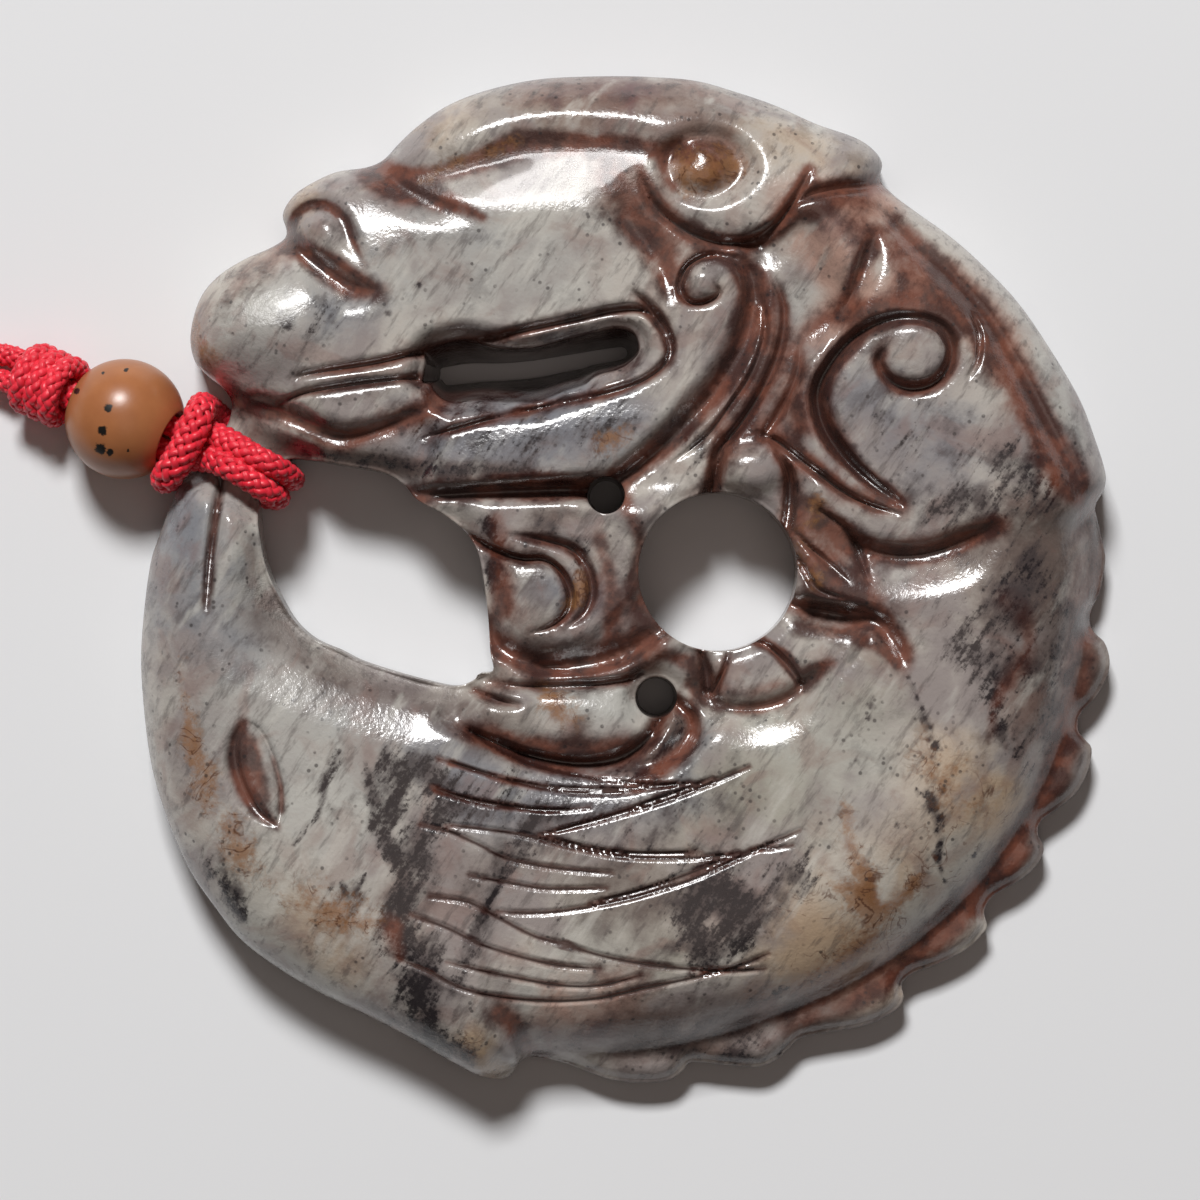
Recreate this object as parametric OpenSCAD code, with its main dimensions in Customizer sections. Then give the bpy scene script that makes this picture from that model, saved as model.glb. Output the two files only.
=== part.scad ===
// Jade pendant carved as a coiled dragon, with a stone bead and a red cord.
// It lies on its flat back. Origin: bottom centre of the carving, +X right, +Y to the dragon's brow,
// +Z up from the back to the carved face.

/* [Jade carving] */
// Width of the carving over the tail and the fins
carving_w = 48.5; // [40:0.1:60]
// Height of the carving from the brow to the fins below
carving_h = 50.4; // [42:0.1:62]
// Thickness from the flat back to the highest relief
carving_t = 7; // [5.5:0.1:9]
// How far the highest relief stands over the plain of the face
crest = 0.6; // [0.3:0.05:1]
// Height of the sharp rim where the dome of the face meets the side wall
rim_t = 3.1; // [2:0.1:4]
// Height of the thin fins outside the body
fin_t = 2.3; // [1.5:0.1:3]
// How far in from the rim the face takes to rise to its plain
dome_reach = 5; // [3:0.1:8]
// Diameter of the round hole behind the foreleg
ring_hole_d = 7.9; // [6:0.1:10]
// Diameter of the drill hole at the throat
throat_hole_d = 1.9; // [1:0.1:3]
// Diameter of the drill hole at the toes
toe_hole_d = 2.1; // [1:0.1:3]
// Radius of the hollow across the back where the cord passes under the tail tip
saddle_r = 6; // [4:0.1:10]
// Room left above the cord in that hollow
saddle_room = 0.55; // [0.3:0.05:1]

/* [Stone bead] */
// Diameter of the bead
bead_d = 6; // [4.5:0.1:8]
// Clearance between the bead's bore and the two strands in it
bore_room = 0.2; // [0.1:0.05:0.6]

/* [Cord] */
// Diameter of the braided cord
cord_d = 1.2; // [0.8:0.05:1.2]
// Radius to the middle of the knot's turns
knot_turn_r = 1.35; // [1:0.05:1.6]
// Distance between the knot's turns
knot_pitch = 0.95; // [0.7:0.05:1.2]

/* [Hidden] */
$fn = 96;
// Side of the squares that the carved face is worked out on
cell = 0.65;
// The narrowest reach that a cut can have on those squares
least_reach = 0.55;
// Sides of the cord's polygon
cord_sides = 8;
// Clear gap left between pieces
gap = 0.05;
// Depth below the back to which the carved block runs before it is trimmed
skirt = 1;
// How far beyond the outline the carved block runs before it is trimmed
margin = 0.95;
// Height that the outline is drawn up to before the face trims it
top_z = carving_t + 2;
face_t = carving_t - crest;
// The dome's section: 0.5 is a quarter circle, more is flatter at the rim
dome_power = 0.575;
// Width of the step from the body's edge down to the fins
fin_step = 0.25;
// Fall of the face at the edges of the big opening, the mouth and the round hole, and how far it reaches
big_edge = [1.2, 1.6];
mouth_edge = [1.3, 0.75];
ring_edge = [0.7, 0.6];
// Length of the cylinder that cuts the hollow under the tail tip
saddle_l = 12;
// One hundredth of the width, the height and the thickness, which the tables below count in
share_w = carving_w / 100;
share_h = carving_h / 100;
share_t = carving_t / 100;

// Rim of the carving, clockwise from the snout. Columns: x, y as shares of the width and the height.
OUTLINE = [
    [-45, 24.5], [-44.1, 28], [-42.2, 30.3], [-39.5, 31.9], [-37, 33], [-35.4, 33.9],
    [-35.1, 34.8], [-35.5, 36.5], [-34.3, 38.4], [-32.2, 39.7], [-29.8, 40.7], [-27, 41.1],
    [-25.1, 41.9], [-23.5, 43.6], [-21.4, 45.3], [-18.5, 47.2], [-14.6, 48.7], [-9.3, 49.8],
    [-4.2, 50.1], [1.4, 50.1], [6.9, 49.7], [11, 48.6], [15.2, 47.2], [19.3, 45.4],
    [23.5, 44], [25.4, 42.8], [26.2, 41.5], [26, 39.9], [27.4, 38.4], [29.5, 36.8],
    [33.7, 33.9], [37.3, 30.8], [40.6, 27.3], [44, 22.4], [46.6, 18], [48.3, 13.8],
    [49.2, 10.8], [49.1, 9.2], [48.3, 7.5], [48.7, 6.1], [49.4, 3], [49.4, 1.6],
    [48.9, -1.1], [48.2, -2.5], [48, -4.2], [48.5, -5.2], [49.4, -6.1], [49.9, -7.7],
    [49.6, -9.5], [48.4, -11.6], [47, -13.1], [46.6, -14.7], [47.4, -15.7], [48.1, -16.7],
    [47.7, -18.8], [46.4, -21], [44.8, -22.4], [42.8, -23.8], [42.5, -25.1], [43.1, -26.6],
    [42.3, -28.3], [40.5, -29.9], [38, -31.2], [37, -32.7], [37.3, -34.3], [36.6, -35.2],
    [35.1, -36.6], [32.3, -38], [29.5, -39], [28.4, -40.1], [28.6, -41.5], [27.7, -42.8],
    [24.7, -44.1], [20.2, -44.9], [17.9, -45.4], [16.9, -46.3], [15.5, -47.5], [13.6, -48.3],
    [10.3, -48.1], [6.6, -47.8], [5.8, -48.6], [4.4, -49.6], [1.7, -49.9], [-1.6, -49.6],
    [-4.6, -48.6], [-6.9, -47.8], [-9.3, -47.3], [-10.7, -47.4], [-11.5, -48.1], [-11.9, -49],
    [-13.1, -49.5], [-15.1, -49], [-17.7, -47.8], [-19.3, -46.9], [-22.3, -45.2], [-26.4, -43.2],
    [-31.4, -40.9], [-35.8, -38.4], [-39.7, -35.5], [-42.4, -32.3], [-45.2, -28.4], [-47.7, -22.7],
    [-49.1, -17.7], [-49.9, -11.1], [-50.1, -5.8], [-49.2, 1.4], [-48.2, 4.7], [-47.1, 7.6],
    [-45.8, 10.1], [-44.4, 11.7], [-42.8, 13.5], [-41.6, 15.3], [-40.9, 16.9], [-40.9, 18.1],
    [-41.7, 19.2], [-43.2, 20.4], [-44.6, 21.9]
];
// Rows of OUTLINE that belong to the fins. The smooth edge of the body inside them is BODY_EDGE.
fin_rows = [38, 90];
BODY_EDGE = [
    [47.9, 6.2], [47.7, 2.2], [47.3, -2.8], [46.4, -7.7], [45.2, -12.7], [43.6, -17.7],
    [41.3, -22.1], [38.4, -26.6], [34.8, -30.9], [30.7, -34.5], [26, -37.7], [20.9, -40.5],
    [15.7, -42.5], [10.6, -44.2], [5.4, -45.4], [-0.8, -46.2], [-5.9, -46.4], [-10.1, -46.4],
    [-11.9, -48]
];
// Opening between the tail, the chin and the foreleg. Columns: x, y.
BIG_HOLE = [
    [-38, 7.8], [-37.7, 4.3], [-37.1, 1.4], [-35.9, -1.2], [-34.3, -3.9], [-32.2, -5.7],
    [-29.6, -6.7], [-27.4, -7.8], [-23.9, -8.9], [-20.5, -9.8], [-17.7, -10.3], [-15.8, -9.7],
    [-15.2, -9], [-13.8, -8.7], [-14.1, -6.7], [-14.3, -3.5], [-14.7, -0.1], [-15.3, 2.9],
    [-16.6, 5], [-19, 6.7], [-21.6, 8.1], [-22.9, 9.6], [-25.1, 10.8], [-28.5, 11.4],
    [-30.8, 11.8], [-32.9, 12.1], [-34.8, 12.2], [-36.4, 11.4], [-37.6, 10]
];
// Slit of the open mouth. Columns: x, y.
MOUTH = [
    [-20.7, 23], [-18.8, 23.7], [-16.5, 24.1], [-13.1, 23.2], [-9.8, 23.2], [-5.4, 24.3],
    [-1.6, 25.2], [0.5, 24.8], [1.3, 23.4], [1, 22.1], [-0.9, 20.8], [-3.1, 20.1],
    [-4.5, 19.1], [-6.2, 18.6], [-9, 17.5], [-12.1, 17.4], [-14.8, 17.7], [-18.1, 17.5],
    [-19.5, 18.3], [-20.4, 19.3], [-21.2, 19.6], [-20.9, 21.4]
];
// Centres of the round hole, the throat hole and the toe hole. Columns: x, y.
HOLES = [[9.2, 1], [-2.2, 8.5], [2.9, -11.4]];
// Middle of the hollow under the cord and the heading of the strands over it.
SADDLE = [-40.2, 11.6, -27];

// Every cut holds its sharpness (1 is a straight side, 2 a hollow one) and its rows. Columns of a row:
// x, y, reach to the left of the run, reach to its right (shares of the width), depth (of the thickness).
// Cuts of the head: brow, nose, lips, spur at the corner of the mouth, eye and cheek.
HEAD_CUTS = [
    [1.3, [  // brow
        [-24.9, 40.9, 0.6, 1, 4.3], [-19.9, 40.1, 1, 3.1, 12.9], [-15, 41.9, 1.2, 5.4, 17.1],
        [-10.1, 43.5, 1.2, 6.2, 18.6], [-2.8, 43.3, 1.2, 6.4, 18.6], [3.6, 42.7, 1, 4.1, 14.3],
        [6.4, 42.1, 0.8, 2.1, 4.3]]],
    [1.3, [  // wedge
        [-25.1, 41.3, 0.6, 1, 0], [-23.2, 39.3, 0.8, 3.1, 10], [-19.3, 37.3, 0.7, 3.3, 10],
        [-14.8, 35.5, 0.4, 0.8, 0]]],
    [1.2, [  // nostril
        [-34.9, 34.9, 0.4, 1, 2.9], [-33.5, 36.7, 0.6, 2.1, 10], [-31.2, 37.3, 0.6, 2.5, 12.9],
        [-29.2, 36, 0.6, 2.1, 11.4], [-28.2, 33.7, 0.5, 1.4, 8.6], [-26.8, 31, 0.3, 0.6, 0]]],
    [1.3, [  // nose crease
        [-34.6, 34.3, 0.6, 0.6, 1.4], [-32.5, 31.7, 1.4, 1.4, 12.9], [-29.6, 29.7, 1.4, 2.9, 15.7],
        [-27.4, 28.7, 1, 2.7, 11.4], [-25.1, 28.6, 0.4, 0.6, 0]]],
    [1.2, [  // lip up
        [-34.2, 19.8, 0.4, 0.4, 0], [-31.9, 20.5, 0.6, 0.6, 7.1], [-25.5, 21.5, 0.7, 0.7, 10],
        [-20.6, 22.7, 0.7, 0.7, 10], [-15.7, 23.8, 0.7, 0.7, 10], [-12.1, 24.4, 0.7, 0.7, 10],
        [-5.4, 25.8, 0.7, 0.7, 10], [-1.4, 26.7, 0.7, 0.8, 11.4], [1.8, 26.6, 0.8, 0.8, 12.9],
        [3.6, 25, 0.9, 0.9, 12.9], [4.4, 23, 0.8, 0.8, 11.4], [3.8, 21.3, 0.7, 0.7, 10],
        [1.3, 19.6, 0.7, 0.7, 10], [-2, 18.6, 0.7, 0.7, 10], [-5.4, 17.9, 0.7, 0.7, 10],
        [-9.8, 17, 0.7, 0.7, 10], [-14.4, 15.9, 0.6, 0.6, 8.6], [-18.8, 14.7, 0.5, 0.5, 5.7],
        [-21.4, 14, 0.3, 0.3, 0]]],
    [1.3, [  // lip low
        [-37.7, 16.9, 0.6, 0.6, 2.9], [-35.3, 17.6, 1, 0.8, 11.4], [-31.9, 18.3, 1, 0.6, 12.9],
        [-26.5, 19.2, 0.8, 0.6, 11.4], [-21.6, 19.8, 0.6, 0.6, 8.6]]],
    [1.3, [  // leaf
        [-38.4, 17.2, 0.6, 0.6, 0], [-34.8, 16.5, 0.8, 0.9, 12.9], [-31.5, 14.9, 0.6, 0.9, 12.9],
        [-28.6, 14.1, 0.6, 0.9, 12.9], [-24, 15.3, 0.6, 0.9, 12.9], [-20.6, 17.1, 0.5, 0.6, 7.1]]],
    [1.4, [  // spur
        [0.1, 28.8, 0.4, 0.4, 0], [1.7, 27.5, 0.8, 0.8, 8.6], [3.1, 25.8, 0.9, 0.9, 11.4],
        [4.2, 23.5, 0.9, 0.9, 8.6], [4.2, 21.5, 0.6, 0.6, 0]]],
    [1.4, [  // under eye
        [0.9, 40.7, 0.4, 0.4, 0], [2.3, 37.4, 0.8, 0.8, 8.6], [4.7, 35.3, 0.9, 0.9, 11.4],
        [7.5, 33.8, 0.9, 0.9, 11.4], [10.2, 33.3, 0.9, 0.9, 11.4], [12.9, 33.6, 0.9, 0.9, 11.4],
        [15.4, 35.3, 0.8, 0.8, 10], [17.4, 38, 0.7, 0.7, 7.1], [18.6, 40.5, 0.4, 0.4, 0]]],
    [1.4, [  // cheek front
        [-4.5, 37.9, 2.1, 0.6, 0], [-0.9, 35.5, 3.7, 1.2, 7.1], [1.9, 32.4, 3.7, 1.2, 8.6],
        [3.9, 29, 2.1, 0.8, 4.3], [4.2, 26.8, 0.8, 0.6, 0]]],
    [1.3, [  // cheek curl
        [11, 31.7, 0.5, 0.5, 2.9], [8.5, 32.1, 0.6, 0.6, 8.6], [6.2, 31.2, 0.6, 0.6, 11.4],
        [5.3, 29.2, 0.6, 0.6, 11.4], [6, 27.6, 0.6, 0.6, 11.4], [7.7, 27.4, 0.6, 0.6, 10],
        [9.3, 28.3, 0.5, 0.5, 7.1], [8.7, 29.4, 0.3, 0.3, 0]]],
    [1.3, [  // jaw rear
        [7.5, 32.9, 0.6, 0.6, 2.9], [10.4, 32.1, 1.2, 0.8, 14.3], [12.3, 30.5, 1.6, 1.2, 21.4],
        [12.8, 27.9, 1.6, 1.6, 22.9], [12.4, 25, 1.6, 1.9, 24.3], [11.4, 22.4, 1.6, 2.1, 24.3],
        [9.1, 18.9, 1.6, 2.3, 25.7], [6.4, 16.1, 1.4, 2.3, 25.7], [3.8, 13.5, 1.2, 2.1, 25.7],
        [1.3, 11.5, 1, 1.6, 25.7], [-1.2, 9.9, 0.8, 1, 22.9]]],
    [1.4, [  // head rear
        [26.9, 39.7, 1, 1, 5.7], [24.2, 39.1, 1.2, 1.2, 8.6], [21.4, 38.7, 1.1, 1.1, 8.6],
        [18.4, 37.9, 0.9, 0.9, 7.1], [16.2, 36.3, 0.5, 0.5, 0]]],
    [1.2, [  // neck notch
        [25.2, 34.3, 0.6, 0.4, 0], [24.6, 32.7, 1.6, 0.5, 11.4], [23.6, 30, 2.1, 0.5, 12.9],
        [22.5, 27.4, 1.4, 0.5, 10], [21.7, 25.8, 0.5, 0.4, 0]]]
];
// Cuts of the mane, shoulder, back, belly and haunch.
BODY_CUTS = [
    [1.2, [  // mane a
        [14.7, 30.4, 0.5, 0.5, 0], [16, 27, 0.7, 0.7, 7.1], [15.6, 23, 0.7, 0.7, 8.6],
        [13.9, 19, 0.7, 0.7, 8.6], [11.6, 15.6, 0.7, 0.7, 10], [9.1, 12.6, 0.7, 0.7, 10],
        [8.7, 10.1, 0.6, 0.6, 7.1]]],
    [1.4, [  // hair gap
        [9.7, 14.1, 0.8, 0.8, 4.3], [9.1, 11.1, 1.2, 1.2, 17.1], [8.3, 8.1, 1.2, 1.2, 17.1],
        [6.9, 6.2, 1, 1, 12.9]]],
    [1.2, [  // spiral
        [26.4, 23.6, 0.4, 0.4, 0], [25.3, 21.8, 0.6, 0.6, 7.1], [26.4, 19.6, 0.7, 0.7, 11.4],
        [28.9, 18.5, 0.7, 0.7, 12.9], [31.8, 19, 0.8, 0.8, 14.3], [33.8, 21, 0.8, 0.8, 14.3],
        [34.3, 23.5, 0.8, 0.8, 14.3], [32.8, 25.6, 0.8, 0.8, 12.9], [29.7, 26.3, 0.8, 0.8, 12.9],
        [26.4, 25.9, 0.9, 0.9, 14.3], [23.4, 24.2, 1.1, 1, 17.1], [20.9, 21.6, 1.3, 1.1, 21.4],
        [19.4, 18.7, 1.4, 1.2, 22.9], [20.1, 15.3, 1.3, 1.2, 22.9], [22.2, 12.2, 1.2, 1.2, 21.4],
        [25.2, 9.5, 0.9, 0.9, 15.7], [28.3, 7.3, 0.4, 0.4, 0]]],
    [1.3, [  // sickle
        [12.8, 14.9, 0.4, 0.4, 0], [15.2, 13.9, 0.6, 0.8, 8.6], [18.4, 11.5, 0.6, 0.8, 11.4],
        [21.9, 8.9, 0.6, 0.8, 11.4], [25.2, 7.3, 0.5, 0.6, 7.1], [28.1, 6.5, 0.4, 0.4, 0]]],
    [1.5, [  // dorsal
        [26.4, 36.7, 0.8, 1.6, 2.9], [29.6, 33.3, 1.2, 2.7, 8.6], [33.2, 30.2, 1.2, 3.1, 11.4],
        [36.9, 26.4, 1.2, 3.3, 11.4], [40.1, 21.4, 1.2, 3.3, 11.4], [42.9, 16.1, 1.2, 2.9, 11.4],
        [45.4, 11.1, 1.2, 2.1, 8.6], [47.3, 7.6, 0.8, 1, 0]]],
    [1.5, [  // belly
        [18.6, 7.6, 0.5, 0.6, 0], [20.8, 5.6, 1, 3.1, 10], [22.9, 4.1, 1.1, 4.5, 15.7],
        [26.9, 2.9, 1.2, 5.4, 18.6], [31, 3.1, 1.2, 5.4, 18.6], [35.1, 4.6, 1.1, 4.5, 15.7],
        [38.6, 5.8, 0.6, 1.6, 0]]],
    [1.3, [  // leaf b
        [19.6, 6.9, 0.5, 0.5, 2.9], [22.1, 5.4, 0.7, 0.7, 8.6], [23.6, 3.2, 0.7, 0.7, 8.6],
        [24.6, 0.2, 0.5, 0.5, 2.9]]],
    [1.3, [  // bump gap
        [15.3, 12.9, 0.6, 0.6, 2.9], [16.5, 10.5, 0.9, 0.8, 17.1], [16.5, 7.6, 1, 0.9, 18.6],
        [16.1, 5, 0.8, 0.8, 11.4]]],
    [1.4, [  // thigh
        [15.7, -1.9, 1, 1.4, 20], [19.3, -2.6, 1.2, 2.7, 25.7], [22.9, -3.2, 1.2, 2.7, 25.7],
        [25.6, -4, 1.2, 1.6, 21.4], [27.1, -6, 1.4, 0.9, 17.1], [28.5, -8.5, 0.6, 0.4, 0]]],
    [1.3, [  // hind a
        [12.4, -5.5, 0.5, 0.5, 2.9], [14.5, -6.4, 0.6, 0.7, 10], [16.3, -8.1, 0.6, 0.7, 10],
        [17.8, -10.1, 0.5, 0.6, 7.1]]],
    [1.4, [  // hind b
        [6.4, -10.1, 0.8, 1, 7.1], [8.7, -11.9, 1.2, 2.5, 17.1], [12.1, -12.3, 1.4, 3.5, 21.4],
        [15.7, -11.5, 1.4, 3.5, 20], [18.4, -9.7, 1, 3.1, 14.3], [21.1, -7.7, 0.5, 1, 0]]],
    [1.5, [  // slot
        [4.6, -11.7, 0.8, 0.8, 17.1], [6.4, -12.9, 1, 1, 24.3], [6.9, -14.7, 1.2, 1.2, 25.7],
        [5.8, -16.5, 1.2, 1.2, 21.4], [3.8, -18.3, 1, 1, 11.4], [1.3, -19.4, 0.6, 0.6, 0]]]
];
// Cuts of the curled foreleg, the toe bar, the throat and the tail.
LEG_CUTS = [
    [1.3, [  // leg claw
        [-17.1, 5.2, 0.4, 0.4, 2.9], [-14, 3.3, 0.6, 0.7, 11.4], [-11, 2.3, 0.6, 0.7, 14.3],
        [-8.5, 2.2, 0.6, 0.6, 14.3], [-6.8, 0.9, 0.6, 0.6, 14.3], [-5.8, -1.2, 0.6, 0.6, 12.9],
        [-6.1, -3, 0.5, 0.6, 10], [-7.8, -4.4, 0.4, 0.5, 5.7], [-10.1, -5.2, 0.3, 0.4, 0]]],
    [1.4, [  // leg outer
        [-12.3, 4.7, 0.5, 0.5, 0], [-8.5, 4.1, 0.8, 0.8, 8.6], [-5.7, 3.2, 1, 0.8, 12.9],
        [-4.1, 1.2, 0.9, 0.8, 10], [-3.7, -1.2, 0.8, 0.8, 8.6], [-4.5, -3.2, 0.7, 0.7, 5.7],
        [-6.3, -4.6, 0.4, 0.4, 0]]],
    [1.5, [  // leg under
        [-14.4, -4.6, 1.2, 0.6, 7.1], [-13.1, -6.5, 2.3, 0.9, 17.1], [-10.3, -8.1, 2.9, 1, 21.4],
        [-5.4, -8.5, 3.1, 1, 22.9], [-1, -7.6, 2.7, 1, 21.4], [2.5, -5.8, 1.9, 0.8, 15.7],
        [4.2, -4.3, 1, 0.6, 8.6]]],
    [1.4, [  // bar top
        [-14.2, -9.9, 0.6, 0.8, 4.3], [-10.1, -10.3, 0.9, 1, 10], [-4.9, -10.2, 0.9, 1, 11.4],
        [-0.6, -9.7, 0.8, 0.9, 10], [1.3, -8.9, 0.6, 0.6, 4.3]]],
    [1.4, [  // bar low
        [-18.1, -13.3, 0.5, 0.5, 0], [-14.2, -14.9, 1.2, 1, 11.4], [-10.1, -16.6, 1.4, 1.2, 20],
        [-4.9, -17.3, 1.4, 1.2, 22.9], [-0.8, -16.5, 1.4, 1.2, 22.9], [1.9, -14.7, 1.4, 1, 22.9],
        [3.4, -12.9, 1.2, 0.8, 20]]],
    [1.2, [  // drill cut
        [-22.6, 8.5, 0.3, 0.3, 4.3], [-19.3, 8.7, 0.5, 0.8, 22.9], [-14.2, 8.9, 0.7, 1.2, 34.3],
        [-9, 9, 0.9, 1.3, 42.9], [-4.9, 9, 1.3, 1.3, 45.7], [-2.2, 8.7, 1.9, 1.6, 48.6]]],
    [1.2, [  // tail groove
        [-41.8, 10.1, 0.5, 0.5, 4.3], [-41.9, 8.3, 0.8, 0.8, 12.9], [-42.3, 5.2, 0.8, 0.8, 14.3],
        [-42.7, 1.7, 0.7, 0.7, 11.4], [-43, -3, 0.4, 0.4, 0]]],
    [1.4, [  // tail lens
        [-39.1, -13.9, 0.5, 0.5, 0], [-38.7, -16.2, 0.9, 1, 8.6], [-38.1, -19.1, 1.1, 1.2, 12.9],
        [-37.1, -21.6, 0.8, 0.9, 8.6], [-35.7, -23.8, 0.4, 0.4, 0]]]
];

// Raised and sunk ovals. Columns: x, y, half length, half width, heading in degrees, rise.
MOUNDS = [
    [7.9, 40.8, 5.2, 4.1, -14, -21.4],  // eye pit
    [7.5, 40.5, 3.1, 2.8, 0, 13.6],  // eye ball
    [-37.7, 25.8, 9.3, 7.2, 20, 7.1],  // muzzle
    [-30.7, 37.4, 6.2, 3.5, 25, 2.9],  // nose bump
    [-31.9, 33.9, 3.1, 2.7, 0, 5],  // nostril lobe
    [7.7, 29.5, 1.9, 1.9, 0, 6.4],  // curl ball
    [29.5, 22.8, 4.3, 4.1, 0, 5],  // shoulder ball
    [12.8, 11.1, 4.3, 2.9, 0, 11.4],  // bump
    [-9.8, -1.6, 4.7, 4.5, 0, 5],  // leg ball
    [-5.4, -13.5, 9.8, 2.7, 8, 7.1],  // bar
    [-7, 13.1, 15.5, 3.7, 13, 7.1],  // jaw
    [-2.8, 45.8, 26.8, 5.2, 0, 2.1],  // forehead
];

// Parts of the face that lie lower. Columns: rise, softness of the border, outline of x, y.
LEVELS = [
    [-16.4, 1, [  // cord seat
        [-44.5, 15.6], [-40.5, 16.9], [-36.3, 15.1], [-31.9, 12.9], [-33.2, 10.1], [-35.8, 6.6],
        [-38.9, 6.6], [-42.8, 8.9], [-46.1, 11.1]]],
    [-12.9, 1, [  // mane
        [13.7, 31.7], [17.8, 31.7], [21.7, 28], [22.1, 25], [18.4, 22], [16.8, 18.1],
        [17.8, 14.1], [16.8, 6.2], [7.5, 8.1], [1.3, 8.1], [0.1, 10.3], [7.5, 15.6],
        [12.1, 21], [13.7, 27]]],
    [-7.1, 1, [  // foreleg
        [-18.3, 8.1], [-2.8, 6.6], [2.3, 2.2], [2.8, -5.8], [-2.8, -8.9], [-11.1, -8.9],
        [-14.2, -5.8], [-15.2, 2.2]]],
    [-11.4, 0.8, [  // toes
        [-16.2, -9.7], [-11.1, -8.5], [-2.8, -9.3], [3.4, -7.2], [7.5, -6.7], [9.5, -11.7],
        [7.5, -15.7], [1.3, -18.7], [-7, -18.2], [-15.2, -15.5], [-19.3, -13.2]]],
    [-8.6, 0.8, [  // hindleg
        [7.5, -6.7], [11.6, -5.8], [17.8, -2.8], [22.9, -3.3], [24, -5.8], [20.9, -9.2],
        [15.7, -12.7], [8, -12.2]]],
    [-10, 1, [  // chin
        [-38.9, 17.6], [-34.8, 17.9], [-29.6, 15.1], [-21.4, 16.1], [-19.3, 14.1], [-21.4, 8.1],
        [-25.5, 10.3], [-33.8, 11.1], [-40.5, 14.1]]],
    [-5, 1, [  // nose side
        [1.3, 39.9], [6.4, 36.4], [11.6, 33.9], [9.5, 31.7], [5.4, 31], [4.2, 28],
        [1.3, 32.4], [-1.3, 36.4]]]
];

// The bead's middle and the line of its bore, towards the knot.
bead_at = [-25.125, 8.15, bead_d / 2 + 0.02];
bore_heading = 156.3;
bore_tilt = 13.4;
// How far each strand lies from that line, and the bore that takes both.
strand_off = 0.625;
bead_bore = 2 * strand_off + cord_d + bore_room;
// Diameter of the cord in the knot, and the knot's middle along the line, clear of the bead.
turn_d = cord_d + gap;
knot_off = knot_pitch + sqrt(pow(bead_d / 2 + turn_d / 2 + gap, 2) - pow(knot_turn_r, 2));
// The cord from the knot through the bead, over and under the tail tip, and back. Columns: x, y, z.
HITCH_ROUTE = [
    [-27.35, 9.81, 2.38], [-26.1, 9.26, 2.7], [-24.87, 8.72, 3.02], [-23.6, 8.16, 3.35],
    [-22.25, 7.57, 3.7], [-21.5, 7.5, 3.85], [-20.85, 7.4, 4], [-20.15, 7.1, 4.55],
    [-19.4, 6.75, 5.2], [-18.7, 6.35, 5.5], [-17.95, 5.95, 5.5], [-17.3, 5.6, 5.05],
    [-16.85, 5.25, 4.1], [-16.75, 5.15, 2.9], [-16.8, 5.2, 1.7], [-17.1, 5.5, 0.85],
    [-17.9, 6.15, 0.62], [-18.9, 7, 0.62], [-19.8, 7.8, 0.62], [-20.5, 8.4, 0.85],
    [-20.9, 8.75, 1.7], [-21, 8.8, 2.9], [-21, 8.75, 4.1], [-21.05, 8.4, 4.95],
    [-21.2, 7.75, 5.25], [-21.5, 7.05, 5.3], [-21.95, 6.3, 5.25], [-22.5, 5.5, 4.95],
    [-22.85, 5.15, 4.1], [-23.05, 5.1, 2.9], [-23.05, 5.15, 1.6], [-22.75, 5.15, 0.75],
    [-21.4, 5, 0.62], [-20.2, 4.7, 0.62], [-19, 4.4, 0.62], [-18.1, 4.15, 0.85],
    [-17.75, 4.05, 1.7], [-17.6, 4, 2.9], [-17.6, 4, 4.15], [-18.05, 4.3, 5.15],
    [-18.9, 4.9, 5.5], [-19.7, 5.4, 5.5], [-20.3, 5.75, 5.1], [-20.85, 6.05, 4.45],
    [-21.5, 6.2, 3.95], [-22.15, 6.33, 3.8], [-22.75, 6.43, 3.7], [-24.1, 7.02, 3.35],
    [-25.38, 7.58, 3.02], [-26.6, 8.12, 2.7], [-27.85, 8.67, 2.38]
];
// The hanging loop, from the knot round to the knot. Columns: x, y, z.
LOOP_ROUTE = [
    [-30.32, 11.12, 1.6], [-31.15, 11.4, 1.2], [-32.2, 11.5, 0.82], [-33.5, 11.5, 0.62],
    [-37, 12.3, 0.62], [-42, 14.6, 0.62], [-48, 18, 0.62], [-55, 21.6, 0.62],
    [-63, 24.5, 0.62], [-71, 25.9, 0.62], [-78.5, 25.2, 0.62], [-84.5, 21.8, 0.62],
    [-88, 16.5, 0.62], [-88.6, 10.5, 0.62], [-86, 4.8, 0.62], [-80.5, 0.8, 0.62],
    [-73, -0.8, 0.62], [-65, -0.2, 0.62], [-57, 2, 0.62], [-49.5, 4.9, 0.62],
    [-43, 7.6, 0.62], [-37.5, 9.5, 0.62], [-33.8, 10.15, 0.62], [-32.6, 10.25, 0.82],
    [-31.65, 10.2, 1.2], [-30.82, 9.97, 1.6]
];

// A table's x and y in millimetres.
function place(row) = [row.x * share_w, row.y * share_h];
function places(rows) = [for (row = rows) place(row)];
function part_of(rows, from, to) = [for (i = [from : 1 : to]) rows[i]];
outline_mm = places(OUTLINE);
big_hole_mm = places(BIG_HOLE);
mouth_mm = places(MOUTH);
body_mm = places(concat(part_of(OUTLINE, 0, fin_rows[0] - 1), BODY_EDGE,
    part_of(OUTLINE, fin_rows[1], len(OUTLINE) - 1)));

function clamp(v) = max(0, min(1, v));
function ease(t) = clamp(t) * clamp(t) * (3 - 2 * clamp(t));
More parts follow.
